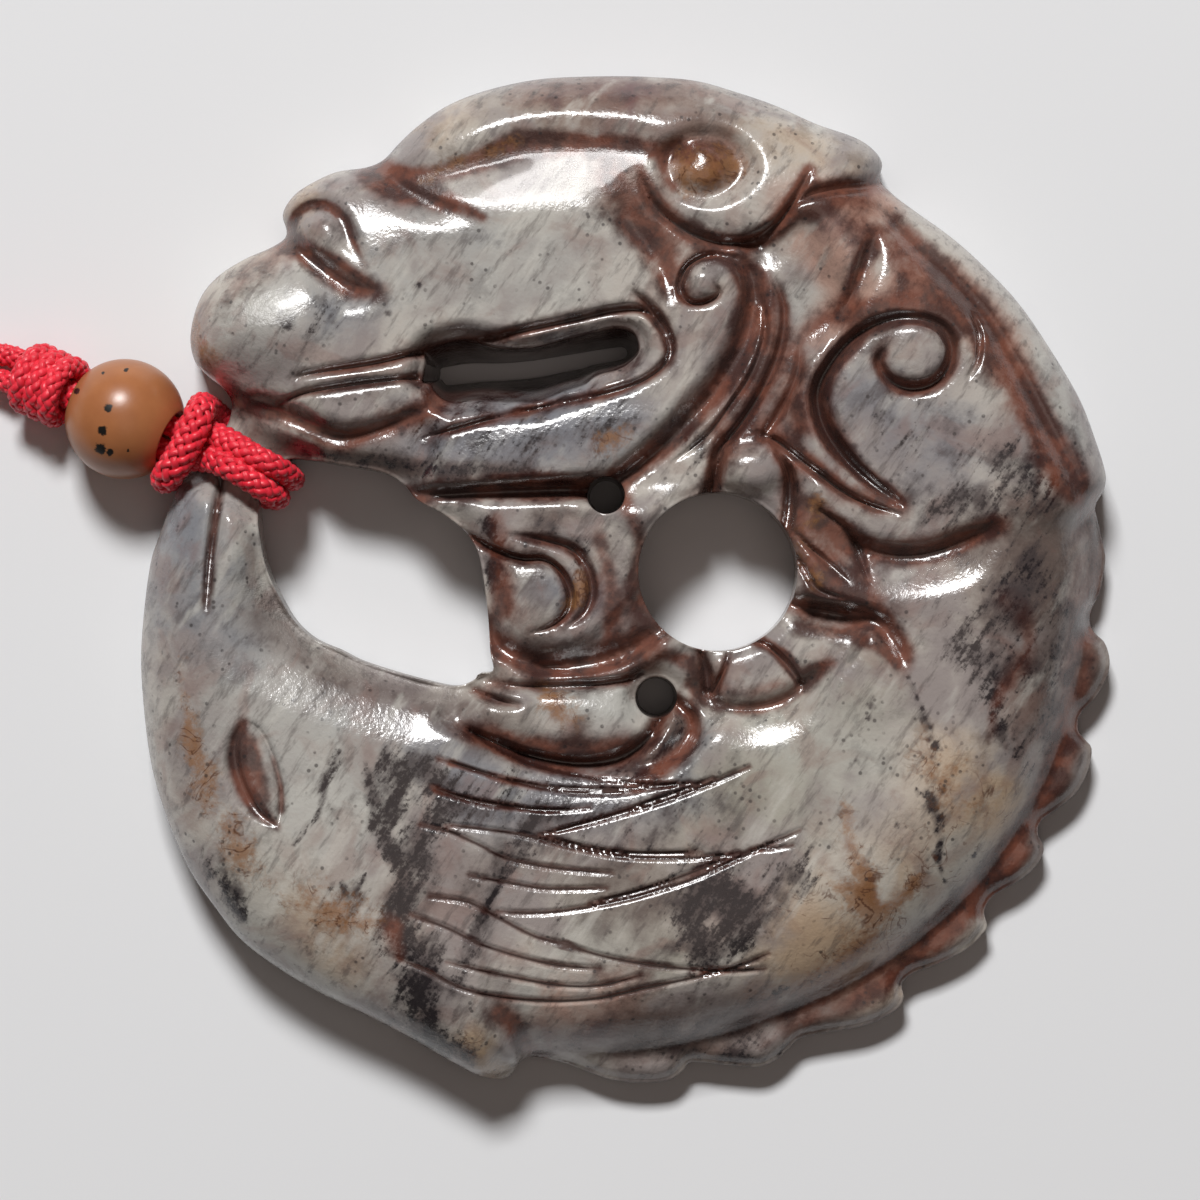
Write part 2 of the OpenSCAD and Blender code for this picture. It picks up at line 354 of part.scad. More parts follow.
// Distance from p to the segment from a to b, the share along it, and which side of it p is on.
function near(p, a, b) =
    let (ab = b - a, ap = p - a, t = clamp((ap * ab) / (ab * ab)))
    [norm(ap - t * ab), t, ab.x * ap.y - ab.y * ap.x];
function distance(p, loop) =
    min([for (i = [0 : len(loop) - 1]) near(p, loop[i], loop[(i + 1) % len(loop)])[0]]);
function crossings(p, loop) =
    [for (i = [0 : len(loop) - 1])
        let (a = loop[i], b = loop[(i + 1) % len(loop)])
        if ((a.y > p.y) != (b.y > p.y) && p.x < (b.x - a.x) * (p.y - a.y) / (b.y - a.y) + a.x) 1];
// Distance in from a closed outline, negative outside it.
function inset(p, loop) = distance(p, loop) * (len(crossings(p, loop)) % 2 == 1 ? 1 : -1);

// A cut in millimetres: sharpness, places, sizes of each row, and its box with the reach around it.
function cut_mm(cut) =
    let (at = places(cut[1]),
        sizes = [for (row = cut[1])
            [max(row[2] * share_w, least_reach), max(row[3] * share_w, least_reach), row[4] * share_t]],
        reach = max([for (s = sizes) max(s[0], s[1])]))
    [cut[0], at, sizes,
        min([for (a = at) a.x]) - reach, max([for (a = at) a.x]) + reach,
        min([for (a = at) a.y]) - reach, max([for (a = at) a.y]) + reach];
function cut_depth(p, cut) =
    p.x < cut[3] || p.x > cut[4] || p.y < cut[5] || p.y > cut[6] ? 0 :
    let (all = [for (i = [0 : len(cut[1]) - 2]) near(p, cut[1][i], cut[1][i + 1])],
        d = min([for (n = all) n[0]]),
        i = [for (k = [0 : len(all) - 1]) if (all[k][0] == d) k][0],
        size = cut[2][i] * (1 - all[i][1]) + cut[2][i + 1] * all[i][1],
        reach = all[i][2] >= 0 ? size[0] : size[1])
    size[2] * pow(clamp(1 - d / reach), cut[0]);
function mound_rise(p, m) =
    let (d = p - place(m), u = (d.x * cos(m[4]) + d.y * sin(m[4])) / (m[2] * share_w),
        v = (d.y * cos(m[4]) - d.x * sin(m[4])) / (m[3] * share_w))
    m[5] * share_t * ease(1 - u * u - v * v);
function level_rise(p, level) =
    let (loop = places(level[2]), soft = level[1] * share_w)
    p.x < min([for (a = loop) a.x]) - soft || p.x > max([for (a = loop) a.x]) + soft
        || p.y < min([for (a = loop) a.y]) - soft || p.y > max([for (a = loop) a.y]) + soft ? 0 :
    level[0] * share_t * ease(0.5 + inset(p, loop) / (2 * soft));
function total(list, i = 0) = i >= len(list) ? 0 : list[i] + total(list, i + 1);

// Height of the dome of the face over p, before it is carved.
function dome(in_body) =
    let (t = clamp(in_body / dome_reach))
    rim_t + (face_t - rim_t) * pow(1 - (1 - t) * (1 - t), dome_power);
function blank(p) =
    let (in_body = inset(p, body_mm), dome_z = dome(in_body))
    in_body >= 0 ? dome_z : fin_t + (dome_z - fin_t) * ease(1 + in_body / fin_step);
function rounding(p) =
    big_edge[0] * pow(clamp(1 - distance(p, big_hole_mm) / big_edge[1]), 2)
    + mouth_edge[0] * pow(clamp(1 - distance(p, mouth_mm) / mouth_edge[1]), 1.3)
    + ring_edge[0] * pow(clamp(1 - abs(norm(p - place(HOLES[0])) - ring_hole_d / 2) / ring_edge[1]), 2);
function face_height(p, cuts) =
    blank(p) - rounding(p)
    - pow(total([for (cut = cuts) pow(cut_depth(p, cut), 3)]), 1 / 3)
    + total([for (m = MOUNDS) mound_rise(p, m)])
    + total([for (level = LEVELS) level_rise(p, level)]);

// The carved face as a block of squares, each split along its flatter diagonal, over a skirt.
module relief_block() {
    cuts = [for (cut = concat(HEAD_CUTS, BODY_CUTS, LEG_CUTS)) cut_mm(cut)];
    nx = ceil((carving_w / 2 + margin) / cell);
    ny = ceil((carving_h / 2 + margin) / cell);
    cols = 2 * nx + 1;
    rows = 2 * ny + 1;
    at = [for (j = [0 : rows - 1]) for (i = [0 : cols - 1]) [(i - nx) * cell, (j - ny) * cell]];
    in_by = [for (p = at) inset(p, outline_mm)];
    z = [for (k = [0 : len(at) - 1]) in_by[k] < -2 * margin ? rim_t : face_height(at[k], cuts)];
    // A square is kept where its middle is inside the outline or within the margin of it.
    kept = [for (j = [0 : rows - 2]) for (i = [0 : cols - 2])
        let (k = j * cols + i)
        (in_by[k] + in_by[k + 1] + in_by[k + cols] + in_by[k + cols + 1]) / 4 > -margin];
    function keeps(i, j) = i >= 0 && j >= 0 && i < cols - 1 && j < rows - 1 && kept[j * (cols - 1) + i];
    count = len(at);
    points = concat(
        [for (k = [0 : count - 1]) [at[k].x, at[k].y, z[k]]],
        [for (p = at) [p.x, p.y, -skirt]],
        [[0, 0, -skirt]]);
    faces = [for (j = [0 : rows - 2]) for (i = [0 : cols - 2]) if (keeps(i, j))
        let (k = j * cols + i, a = k, b = k + 1, c = k + cols + 1, d = k + cols,
            corners = abs(z[a] - z[c]) <= abs(z[b] - z[d]) ? [[a, c, b], [a, d, c]] : [[a, d, b], [b, d, c]],
            sides = [
                if (!keeps(i, j - 1)) [a, b],
                if (!keeps(i + 1, j)) [b, c],
                if (!keeps(i, j + 1)) [c, d],
                if (!keeps(i - 1, j)) [d, a]])
        each concat(corners,
            [for (s = sides) [s[0], s[1], count + s[1]]],
            [for (s = sides) [s[0], count + s[1], count + s[0]]],
            [for (s = sides) [count + s[0], count + s[1], 2 * count]])];
    polyhedron(points, faces, convexity = 12);
}

// Everything that is cut through, and the outline, as one flat shape.
module pierced_outline() {
    difference() {
        polygon(outline_mm);
        polygon(big_hole_mm);
        polygon(mouth_mm);
        translate(place(HOLES[0])) circle(d = ring_hole_d);
        translate(place(HOLES[1])) circle(d = throat_hole_d);
        translate(place(HOLES[2])) circle(d = toe_hole_d);
    }
}

module jade_carving() {
    color("DarkSeaGreen")
    intersection() {
        difference() {
            linear_extrude(top_z) pierced_outline();
            translate([SADDLE.x * share_w, SADDLE.y * share_h, cord_d + saddle_room - saddle_r])
                rotate([0, 90, SADDLE.z])
                cylinder(r = saddle_r, h = saddle_l, center = true);
        }
        relief_block();
    }
}

// Puts a piece on the bead's middle with +X along the bore towards the knot.
module along_bore(off) {
    translate(bead_at) rotate([0, bore_tilt, bore_heading]) translate([off, 0, 0]) children();
}

module stone_bead() {
    color("Peru")
    along_bore(0) rotate([0, 90, 0]) rotate_extrude()
    difference() {
        circle(d = bead_d);
        translate([bead_bore / 2 - bead_d, -bead_d]) square([bead_d, 2 * bead_d]);
    }
}

// A knot of three turns round a short core.
module cord_knot() {
    color("Crimson")
    along_bore(knot_off) rotate([0, 90, 0]) {
        cylinder(r = knot_turn_r - gap, h = 2 * knot_pitch + cord_d - 2 * gap, center = true);
        for (i = [-1 : 1])
            translate([0, 0, i * knot_pitch])
            rotate_extrude() translate([knot_turn_r, 0]) circle(d = turn_d);
    }
}

function unit(v) = v / norm(v);
// Directions across a route, carried along it without twist.
function headings(route) =
    [for (i = [0 : len(route) - 1]) unit(route[min(i + 1, len(route) - 1)] - route[max(i - 1, 0)])];
function across(route) =
    let (h = headings(route))
    [for (i = 0, a = unit(cross(h[0], [0, 0, 1])); i < len(route);
        i = i + 1, a = i < len(route) ? unit(a - (a * h[i]) * h[i]) : a) a];

// A cord swept through its route as one solid.
module cord(route) {
    h = headings(route);
    side = across(route);
    n = cord_sides;
    last = len(route) - 1;
    points = [for (i = [0 : last]) for (k = [0 : n - 1])
        let (turn = 360 * (k + 0.5) / n)
        route[i] + cord_d / 2 * (cos(turn) * side[i] + sin(turn) * cross(h[i], side[i]))];
    walls = [for (i = [0 : last - 1]) for (k = [0 : n - 1])
        let (a = i * n + k, b = i * n + (k + 1) % n)
        each [[a, a + n, b], [b, a + n, b + n]]];
    ends = [[for (k = [0 : n - 1]) k], [for (k = [n - 1 : -1 : 0]) last * n + k]];
    polyhedron(points, concat(walls, ends), convexity = 10);
}

module cord_hitch() {
    color("Crimson") cord(HITCH_ROUTE);
}

module cord_loop() {
    color("Crimson") cord(LOOP_ROUTE);
}

jade_carving();
stone_bead();
cord_hitch();
cord_knot();
cord_loop();
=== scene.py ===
import math

import bpy
import numpy as np
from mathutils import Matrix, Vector
from mathutils.geometry import delaunay_2d_cdt


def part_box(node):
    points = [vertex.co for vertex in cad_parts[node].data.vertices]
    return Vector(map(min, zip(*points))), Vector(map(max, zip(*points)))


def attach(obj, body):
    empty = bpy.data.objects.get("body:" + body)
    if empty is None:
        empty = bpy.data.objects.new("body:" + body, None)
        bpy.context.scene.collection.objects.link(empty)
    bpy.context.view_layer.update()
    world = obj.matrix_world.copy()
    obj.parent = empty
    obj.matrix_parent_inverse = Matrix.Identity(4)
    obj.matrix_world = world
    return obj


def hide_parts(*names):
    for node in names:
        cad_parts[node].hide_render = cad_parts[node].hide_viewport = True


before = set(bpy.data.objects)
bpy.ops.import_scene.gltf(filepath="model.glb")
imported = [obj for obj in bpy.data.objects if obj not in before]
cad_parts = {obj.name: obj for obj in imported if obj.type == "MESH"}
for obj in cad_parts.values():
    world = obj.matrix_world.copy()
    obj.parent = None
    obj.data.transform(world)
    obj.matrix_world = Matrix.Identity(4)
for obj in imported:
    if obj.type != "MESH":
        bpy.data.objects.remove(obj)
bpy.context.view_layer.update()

# The camera looks straight down on the pendant as it lies on a table.
# The picture is 60 mm wide at the height of the stone's rim.
MM = 0.001
PICTURE_WIDTH = 60 * MM
PICTURE_MIDDLE = (-1.375 * MM, -0.9 * MM)
RIM_HEIGHT = 3 * MM
CAMERA_HEIGHT = 300 * MM
SENSOR_WIDTH = 36


def in_scene(name, data):
    """A new object with these data, put in the scene."""
    made = bpy.data.objects.new(name, data)
    bpy.context.scene.collection.objects.link(made)
    return made


camera_data = bpy.data.cameras.new("table_camera")
camera_data.sensor_width = SENSOR_WIDTH
camera_data.lens = SENSOR_WIDTH * (CAMERA_HEIGHT - RIM_HEIGHT) / PICTURE_WIDTH
camera_data.clip_start = 10 * MM
camera = in_scene("table_camera", camera_data)
camera.location = (*PICTURE_MIDDLE, CAMERA_HEIGHT)
bpy.context.scene.camera = camera

# The cord is a round red nylon braid, 1.2 mm thick, of twelve glossy threads laid over a core.
# One length is hitched round the stone's tail tip; the loop that it hangs by leaves the knot.
# The routes are the cord's middle line, in millimetres.
CORD_WIDTH = 1.2 * MM
HITCH_ROUTE = [
    (-27.35, 9.81, 2.38), (-26.1, 9.26, 2.7), (-24.87, 8.72, 3.02), (-23.6, 8.16, 3.35),
    (-22.25, 7.57, 3.7), (-21.5, 7.5, 3.85), (-20.85, 7.4, 4), (-20.15, 7.1, 4.55),
    (-19.4, 6.75, 5.2), (-18.7, 6.35, 5.5), (-17.95, 5.95, 5.5), (-17.3, 5.6, 5.05),
    (-16.85, 5.25, 4.1), (-16.75, 5.15, 2.9), (-16.8, 5.2, 1.7), (-17.1, 5.5, 0.85),
    (-17.9, 6.15, 0.62), (-18.9, 7, 0.62), (-19.8, 7.8, 0.62), (-20.5, 8.4, 0.85),
    (-20.9, 8.75, 1.7), (-21.1, 8.8, 2.9), (-21.2, 8.75, 4.1), (-21.3, 8.35, 4.98),
    (-21.5, 7.7, 5.3), (-21.8, 7, 5.35), (-22.2, 6.25, 5.3), (-22.7, 5.5, 5),
    (-23.05, 5.15, 4.15), (-23.1, 5.1, 2.9), (-23.05, 5.15, 1.6), (-22.75, 5.15, 0.75),
    (-21.4, 5, 0.62), (-20.2, 4.7, 0.62), (-19, 4.4, 0.62), (-18.05, 4.25, 0.85),
    (-17.65, 4.2, 1.7), (-17.45, 4.22, 2.9), (-17.48, 4.22, 4.15), (-17.93, 4.52, 5.15),
    (-18.78, 5.12, 5.5), (-19.58, 5.62, 5.5), (-20.2, 5.94, 5.1), (-20.8, 6.15, 4.45),
    (-21.5, 6.2, 3.95), (-22.15, 6.33, 3.8), (-22.75, 6.43, 3.7), (-24.1, 7.02, 3.35),
    (-25.38, 7.58, 3.02), (-26.6, 8.12, 2.7), (-27.85, 8.67, 2.38),
]
# The bar of the hitch, pressed against the bead, is drawn out flat and looks thicker: row and thickness share.
HITCH_THICKNESS = [
    (4, 1), (5, 1.3), (7, 1.3), (9, 1.12), (12, 1.05), (15, 1), (20, 1), (22, 1.3), (24, 1.5), (27, 1.5), (30, 1),
    (36, 1), (39, 1.12), (42, 1.3), (45, 1.3), (46, 1),
]
LOOP_ROUTE = [
    (-30.32, 11.12, 1.6), (-31.15, 11.4, 1.2), (-32.2, 11.5, 0.82), (-33.5, 11.5, 0.62),
    (-37, 12.3, 0.62), (-42, 14.6, 0.62), (-48, 18, 0.62), (-55, 21.6, 0.62),
    (-63, 24.5, 0.62), (-71, 25.9, 0.62), (-78.5, 25.2, 0.62), (-84.5, 21.8, 0.62),
    (-88, 16.5, 0.62), (-88.6, 10.5, 0.62), (-86, 4.8, 0.62), (-80.5, 0.8, 0.62),
    (-73, -0.8, 0.62), (-65, -0.2, 0.62), (-57, 2, 0.62), (-49.5, 4.9, 0.62),
    (-43, 7.6, 0.62), (-37.5, 9.5, 0.62), (-33.8, 10.15, 0.62), (-32.6, 10.25, 0.82),
    (-31.65, 10.2, 1.2), (-30.82, 9.97, 1.6),
]


def flowing(rows, steps, closed=False):
    """A smooth line through the rows, with so many steps between each two."""
    rows = np.array(rows, float)
    spans = np.arange(len(rows) if closed else len(rows) - 1)
    nearby = [spans + shift for shift in (-1, 0, 1, 2)]
    nearby = [x % len(rows) if closed else np.clip(x, 0, len(rows) - 1) for x in nearby]
    a, b, c, d = (rows[x][:, None, :] for x in nearby)
    t = (np.arange(steps) / steps)[None, :, None]
    line = 0.5 * (2 * b + (c - a) * t + (2 * a - 5 * b + 4 * c - d) * t**2 + (3 * b - a - 3 * c + d) * t**3)
    line = line.reshape(-1, rows.shape[1])
    return line if closed else np.vstack([line, rows[-1:]])


def paint(red, green, blue):
    """A colour as the eye sees it, from 0 to 255, in Blender's linear light."""
    shares = [x / 255 for x in (red, green, blue)]
    return (*[x / 12.92 if x <= 0.04045 else ((x + 0.055) / 1.055) ** 2.4 for x in shares], 1)


def put(tree, kind, settings=None, **inputs):
    """Adds a node, sets it up and feeds its inputs from values or from other nodes' outputs."""
    node = tree.nodes.new(kind)
    for name, value in (settings or {}).items():
        setattr(node, name, value)
    for name, value in inputs.items():
        key = int(name[3:]) if name.startswith("in_") else name.replace("_", " ")
        if isinstance(value, bpy.types.NodeSocket):
            tree.links.new(value, node.inputs[key])
        else:
            node.inputs[key].default_value = value
    return node


def result_of(tree, operation, *values):
    """What a Math node makes of the values."""
    given = {f"in_{i}": value for i, value in enumerate(values)}
    return put(tree, "ShaderNodeMath", {"operation": operation}, **given).outputs[0]


def mixed(tree, share, colour, other):
    """One colour with a share of another laid over it."""
    return put(tree, "ShaderNodeMix", {"data_type": "RGBA"}, in_0=share, in_6=colour, in_7=other).outputs[2]


def kept_value(tree, name):
    """A value that the mesh keeps under the name."""
    return put(tree, "ShaderNodeAttribute", {"attribute_name": name}).outputs["Fac"]


def new_finish(name):
    """An empty material with its shader, ready for colour, gloss and bump."""
    finish = bpy.data.materials.new(name)
    finish.use_nodes = True
    tree = finish.node_tree
    return finish, tree, tree.nodes["Principled BSDF"]


def nylon_braid():
    """Glossy red nylon: fibres run along each thread, and the shade changes where it was handled."""
    finish, tree, shader = new_finish("red_nylon_braid")
    along = result_of(tree, "MULTIPLY", kept_value(tree, "thread_run"), 1500.0)
    around = result_of(tree, "MULTIPLY", kept_value(tree, "thread_turn"), 16.0)
    strand = put(tree, "ShaderNodeCombineXYZ", X=along, Y=around).outputs[0]
    fibres = put(tree, "ShaderNodeTexNoise", Vector=strand, Scale=1.0, Detail=2.0).outputs["Fac"]
    place = put(tree, "ShaderNodeTexCoord").outputs["Object"]
    handled = put(tree, "ShaderNodeTexNoise", Vector=place, Scale=900.0, Detail=3.0).outputs["Fac"]
    tree.links.new(mixed(tree, handled, paint(198, 22, 42), paint(248, 58, 76)), shader.inputs["Base Color"])
    shader.inputs["Roughness"].default_value = 0.36
    shader.inputs["Sheen Weight"].default_value = 0.15
    shader.inputs["Sheen Tint"].default_value = (1, 0.5, 0.5, 1)
    shader.inputs["Sheen Roughness"].default_value = 0.4
    bump = put(tree, "ShaderNodeBump", Height=fibres, Strength=0.5, Distance=0.04 * MM)
    tree.links.new(bump.outputs[0], shader.inputs["Normal"])
    return finish


def braid_tree():
    """Threads wound both ways round a line, each over one and under the next."""
    tree = bpy.data.node_groups.new("round_braid", "GeometryNodeTree")

    def part(kind, settings=None, **inputs):
        return put(tree, kind, settings, **inputs).outputs[0]

    def number(operation, *values):
        return result_of(tree, operation, *values)

    def vector(operation, **inputs):
        return part("ShaderNodeVectorMath", {"operation": operation}, **inputs)

    def keeping(geometry, name, value):
        settings = {"data_type": "FLOAT", "domain": "POINT"}
        return part("GeometryNodeStoreNamedAttribute", settings, Geometry=geometry, Name=name, Value=value)

    for name, kind, start in (
        ("Line", "Geometry", None), ("Width", "Float", CORD_WIDTH), ("Lay", "Float", 3.6 * MM),
        ("Threads", "Int", 12), ("Thread Width", "Float", 0.41 * MM), ("Thread Height", "Float", 0.24 * MM),
        ("Wave", "Float", 0.06 * MM), ("Step", "Float", 0.08 * MM), ("Sides", "Int", 6), ("Finish", "Material", None),
    ):
        socket = tree.interface.new_socket(name, in_out="INPUT", socket_type=f"NodeSocket{kind}")
        if start is not None:
            socket.default_value = start
    tree.interface.new_socket("Cord", in_out="OUTPUT", socket_type="NodeSocketGeometry")
    given = tree.nodes.new("NodeGroupInput").outputs
    line = part("GeometryNodeResampleCurve", {"mode": "LENGTH"}, Curve=given["Line"], Length=given["Step"])

    # A round core reaches to the middle of the threads.
    inset = number("MULTIPLY_ADD", given["Thread Height"], 0.5, given["Wave"])
    reach = number("SUBTRACT", number("MULTIPLY", given["Width"], 0.5), inset)
    core_ring = part("GeometryNodeCurvePrimitiveCircle", Resolution=10, Radius=reach)
    core = part("GeometryNodeCurveToMesh", Curve=line, Profile_Curve=core_ring, Fill_Caps=True)

    # Every thread is a copy of the line that faces its own way round; every second one winds backwards.
    copies = put(tree, "GeometryNodeDuplicateElements", {"domain": "SPLINE"}, Geometry=line, Amount=given["Threads"])
    count = copies.outputs["Duplicate Index"]
    way = number("MULTIPLY_ADD", number("MODULO", count, 2.0), -2.0, 1.0)
    run = put(tree, "GeometryNodeSplineParameter").outputs["Length"]
    turns = number("DIVIDE", run, given["Lay"])
    pair = number("FLOOR", number("DIVIDE", count, 2.0))
    first = number("DIVIDE", pair, number("DIVIDE", given["Threads"], 2.0))
    angle = number("MULTIPLY", number("MULTIPLY_ADD", turns, way, first), math.tau)
    normal, tangent = part("GeometryNodeInputNormal"), part("GeometryNodeInputTangent")
    beside = vector("CROSS_PRODUCT", in_0=tangent, in_1=normal)
    up = vector("SCALE", in_0=normal, Scale=number("COSINE", angle))
    side = vector("SCALE", in_0=beside, Scale=number("SINE", angle))
    out = vector("ADD", in_0=up, in_1=side)
    facing = part("GeometryNodeSetCurveNormal", {"mode": "FREE"}, Curve=copies.outputs[0], Normal=out)

    # It is then moved out that way, in waves over and under the threads that it crosses.
    over = number("COSINE", number("MULTIPLY", number("MULTIPLY", turns, given["Threads"]), math.pi))
    height = number("MULTIPLY_ADD", number("MULTIPLY", over, way), given["Wave"], reach)
    height = number("MULTIPLY", height, part("GeometryNodeInputRadius"))
    shift = vector("SCALE", in_0=part("GeometryNodeInputNormal"), Scale=height)
    wound = keeping(part("GeometryNodeSetPosition", Geometry=facing, Offset=shift), "thread_run", run)

    # Its section is a flattened ring.
    turn = put(tree, "GeometryNodeSplineParameter").outputs["Factor"]
    ring = part("GeometryNodeCurvePrimitiveCircle", Resolution=given["Sides"], Radius=0.5)
    size = part("ShaderNodeCombineXYZ", X=given["Thread Height"], Y=given["Thread Width"], Z=1.0)
    ring = part("GeometryNodeTransform", Geometry=keeping(ring, "thread_turn", turn), Scale=size)
    threads = part("GeometryNodeCurveToMesh", Curve=wound, Profile_Curve=ring, Fill_Caps=True)

    joined = tree.nodes.new("GeometryNodeJoinGeometry")
    for piece in (core, threads):
        tree.links.new(piece, joined.inputs[0])
    whole = part("GeometryNodeRealizeInstances", Geometry=joined.outputs[0])
    whole = part("GeometryNodeSetShadeSmooth", Geometry=whole, Shade_Smooth=True)
    whole = part("GeometryNodeSetMaterial", Geometry=whole, Material=given["Finish"])
    put(tree, "NodeGroupOutput", in_0=whole)
    return tree


def as_curve(name, lines):
    """Open lines through points in millimetres, as one curve object; a fourth column is the thickness share."""
    data = bpy.data.curves.new(name, "CURVE")
    data.dimensions = "3D"
    for points in lines:
        spline = data.splines.new("POLY")
        spline.points.add(len(points) - 1)
        for place, point in zip(spline.points, points):
            place.co = (*[x * MM for x in point[:3]], 1)
            place.radius = point[3] if len(point) > 3 else 1
    return in_scene(name, data)


def settled(made):
    """The plain mesh that an object's nodes make, on an object of the same name."""
    name = made.name
    mesh = bpy.data.meshes.new_from_object(made.evaluated_get(bpy.context.evaluated_depsgraph_get()))
    bpy.data.objects.remove(made)
    return in_scene(name, mesh)


def braided(name, lines, **sizes):
    """Braided cords along lines of points in millimetres, in one piece."""
    made = as_curve(name, lines)
    nodes = made.modifiers.new("braid", "NODES")
    nodes.node_group = ROUND_BRAID
    keys = {x.name: x.identifier for x in ROUND_BRAID.interface.items_tree if x.in_out == "INPUT"}
    nodes[keys["Finish"]] = RED_BRAID
    for key, value in sizes.items():
        nodes[keys[key.title()]] = value
    return settled(made)


RED_BRAID = nylon_braid()
ROUND_BRAID = braid_tree()
thickness = np.interp(np.arange(len(HITCH_ROUTE)), *zip(*HITCH_THICKNESS))
hitch_line = flowing(np.column_stack([HITCH_ROUTE, thickness]), 6)
hitch = braided("cord_hitch_braid", [hitch_line])
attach(hitch, "root")
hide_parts("cord_hitch")

loop_line = flowing(LOOP_ROUTE, 12)
loop = braided("cord_loop_braid", [loop_line], step=0.11 * MM, sides=4)
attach(loop, "root")
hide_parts("cord_loop")

# The knot that stops the bead: the doubled cord wound three times round a short core and drawn tight.
# It lies on the line of the bead's bore. Lengths are millimetres, and the windings are counted from its middle.
BORE_HEADING, BORE_TILT = math.radians(156.3), math.radians(13.4)
bore_level = (math.cos(BORE_HEADING) * math.cos(BORE_TILT), math.sin(BORE_HEADING) * math.cos(BORE_TILT))
bore_line = np.array([*bore_level, -math.sin(BORE_TILT)])
bore_side = np.cross(bore_line, (0, 0, 1))
bore_side /= np.linalg.norm(bore_side)
bore_up = np.cross(bore_side, bore_line)
WINDING_RADIUS, WINDING_PITCH, WINDINGS_EACH_WAY = 1.35, 0.817, 1.62
WINDING_LEAN, WINDING_LEAN_START = 0.28, 0.6
# The ends are drawn in to this share of the radius, over so much of a winding.
TUCKED_IN, TUCKED_OVER = 0.55, 0.3
KNOT_CORE_HALF, KNOT_CORE_THICKNESS = 1.75, 1.35
knot_low, knot_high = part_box("cord_knot")
knot_middle = np.array((knot_low + knot_high) / 2) / MM
windings = []
for count in np.linspace(-WINDINGS_EACH_WAY, WINDINGS_EACH_WAY, 120):
    turn = count * math.tau
    pull = min(1, (WINDINGS_EACH_WAY - abs(count)) / TUCKED_OVER)
    radius = WINDING_RADIUS * (TUCKED_IN + (1 - TUCKED_IN) * pull)
    along = WINDING_LEAN * math.cos(turn - WINDING_LEAN_START) - count * WINDING_PITCH
    out = math.cos(turn) * bore_up + math.sin(turn) * bore_side
    windings.append(knot_middle + bore_line * along + radius * out)
core = [knot_middle + bore_line * x for x in np.linspace(-KNOT_CORE_HALF, KNOT_CORE_HALF, 20)]
knot = braided("cord_knot_braid", [windings, [[*place, KNOT_CORE_THICKNESS] for place in core]])
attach(knot, "root")
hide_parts("cord_knot")

# The pendant is one slab of mottled jade, pierced and carved in relief as a curled dragon.
# It is drawn on a grid of twentieths of a millimetre, x to the right and y down, 1200 steps a side.
GRID = 0.05
GRID_MIDDLE = (627.5, 582)
OUTLINE = [
    (191, 335), (200, 300), (218, 277), (244, 260), (269, 249), (284, 240), (287, 231), (283, 214), (295, 195),
    (315, 182), (338, 172), (366, 168), (384, 160), (400, 143), (420, 125), (448, 106), (486, 91), (537, 80),
    (587, 77), (641, 77), (694, 81), (734, 92), (775, 106), (815, 124), (855, 138), (874, 151), (882, 164),
    (880, 180), (893, 195), (914, 211), (954, 240), (989, 272), (1021, 307), (1054, 356), (1080, 401), (1096, 443),
    (1105, 473), (1104, 489), (1096, 506), (1100, 521), (1107, 552), (1107, 566), (1102, 593), (1095, 607),
    (1093, 624), (1098, 634), (1107, 643), (1112, 660), (1109, 678), (1097, 699), (1083, 714), (1080, 730),
    (1087, 740), (1094, 750), (1090, 772), (1078, 794), (1062, 808), (1043, 822), (1040, 835), (1046, 850),
    (1038, 867), (1020, 883), (996, 896), (986, 912), (989, 928), (983, 937), (968, 951), (941, 965), (914, 975),
    (903, 986), (905, 1000), (896, 1013), (867, 1027), (823, 1035), (801, 1040), (791, 1049), (778, 1061),
    (759, 1069), (727, 1067), (692, 1064), (684, 1072), (670, 1082), (644, 1085), (612, 1082), (583, 1072),
    (561, 1064), (537, 1059), (524, 1060), (516, 1067), (512, 1076), (500, 1081), (481, 1076), (456, 1064),
    (440, 1055), (411, 1038), (371, 1017), (323, 994), (280, 969), (242, 940), (216, 908), (189, 868), (165, 811),
    (151, 760), (143, 694), (142, 640), (150, 568), (160, 535), (171, 505), (183, 480), (197, 464), (212, 446),
    (224, 428), (231, 412), (231, 400), (223, 388), (208, 376), (195, 361),
]
# The fins are the outline's rows 38 to 90. Their foot is the round back of the body.
FIRST_FIN, LAST_FIN = 38, 90
FIN_FOOT = [
    (1092, 520), (1090, 560), (1086, 610), (1078, 660), (1066, 710), (1050, 760), (1028, 805), (1000, 850),
    (965, 893), (925, 930), (880, 962), (830, 990), (780, 1010), (730, 1028), (680, 1040), (620, 1048),
    (570, 1050), (530, 1050), (512, 1066),
]
BODY_EDGE = OUTLINE[:FIRST_FIN] + FIN_FOOT + OUTLINE[LAST_FIN + 1:]
BIG_HOLE = [
    (259, 503), (262, 539), (268, 568), (279, 594), (295, 621), (315, 639), (340, 650), (362, 661), (396, 672),
    (429, 681), (456, 686), (474, 680), (480, 673), (494, 670), (491, 650), (489, 617), (485, 583), (479, 553),
    (466, 532), (443, 514), (418, 500), (405, 485), (384, 473), (351, 467), (329, 463), (308, 460), (290, 459),
    (274, 467), (263, 481),
]
MOUTH = [
    (427, 350), (445, 343), (467, 339), (500, 348), (532, 348), (575, 337), (612, 328), (632, 332), (640, 346),
    (637, 359), (619, 372), (597, 379), (584, 389), (567, 395), (540, 406), (510, 407), (484, 404), (452, 406),
    (438, 398), (430, 387), (422, 384), (425, 366),
]
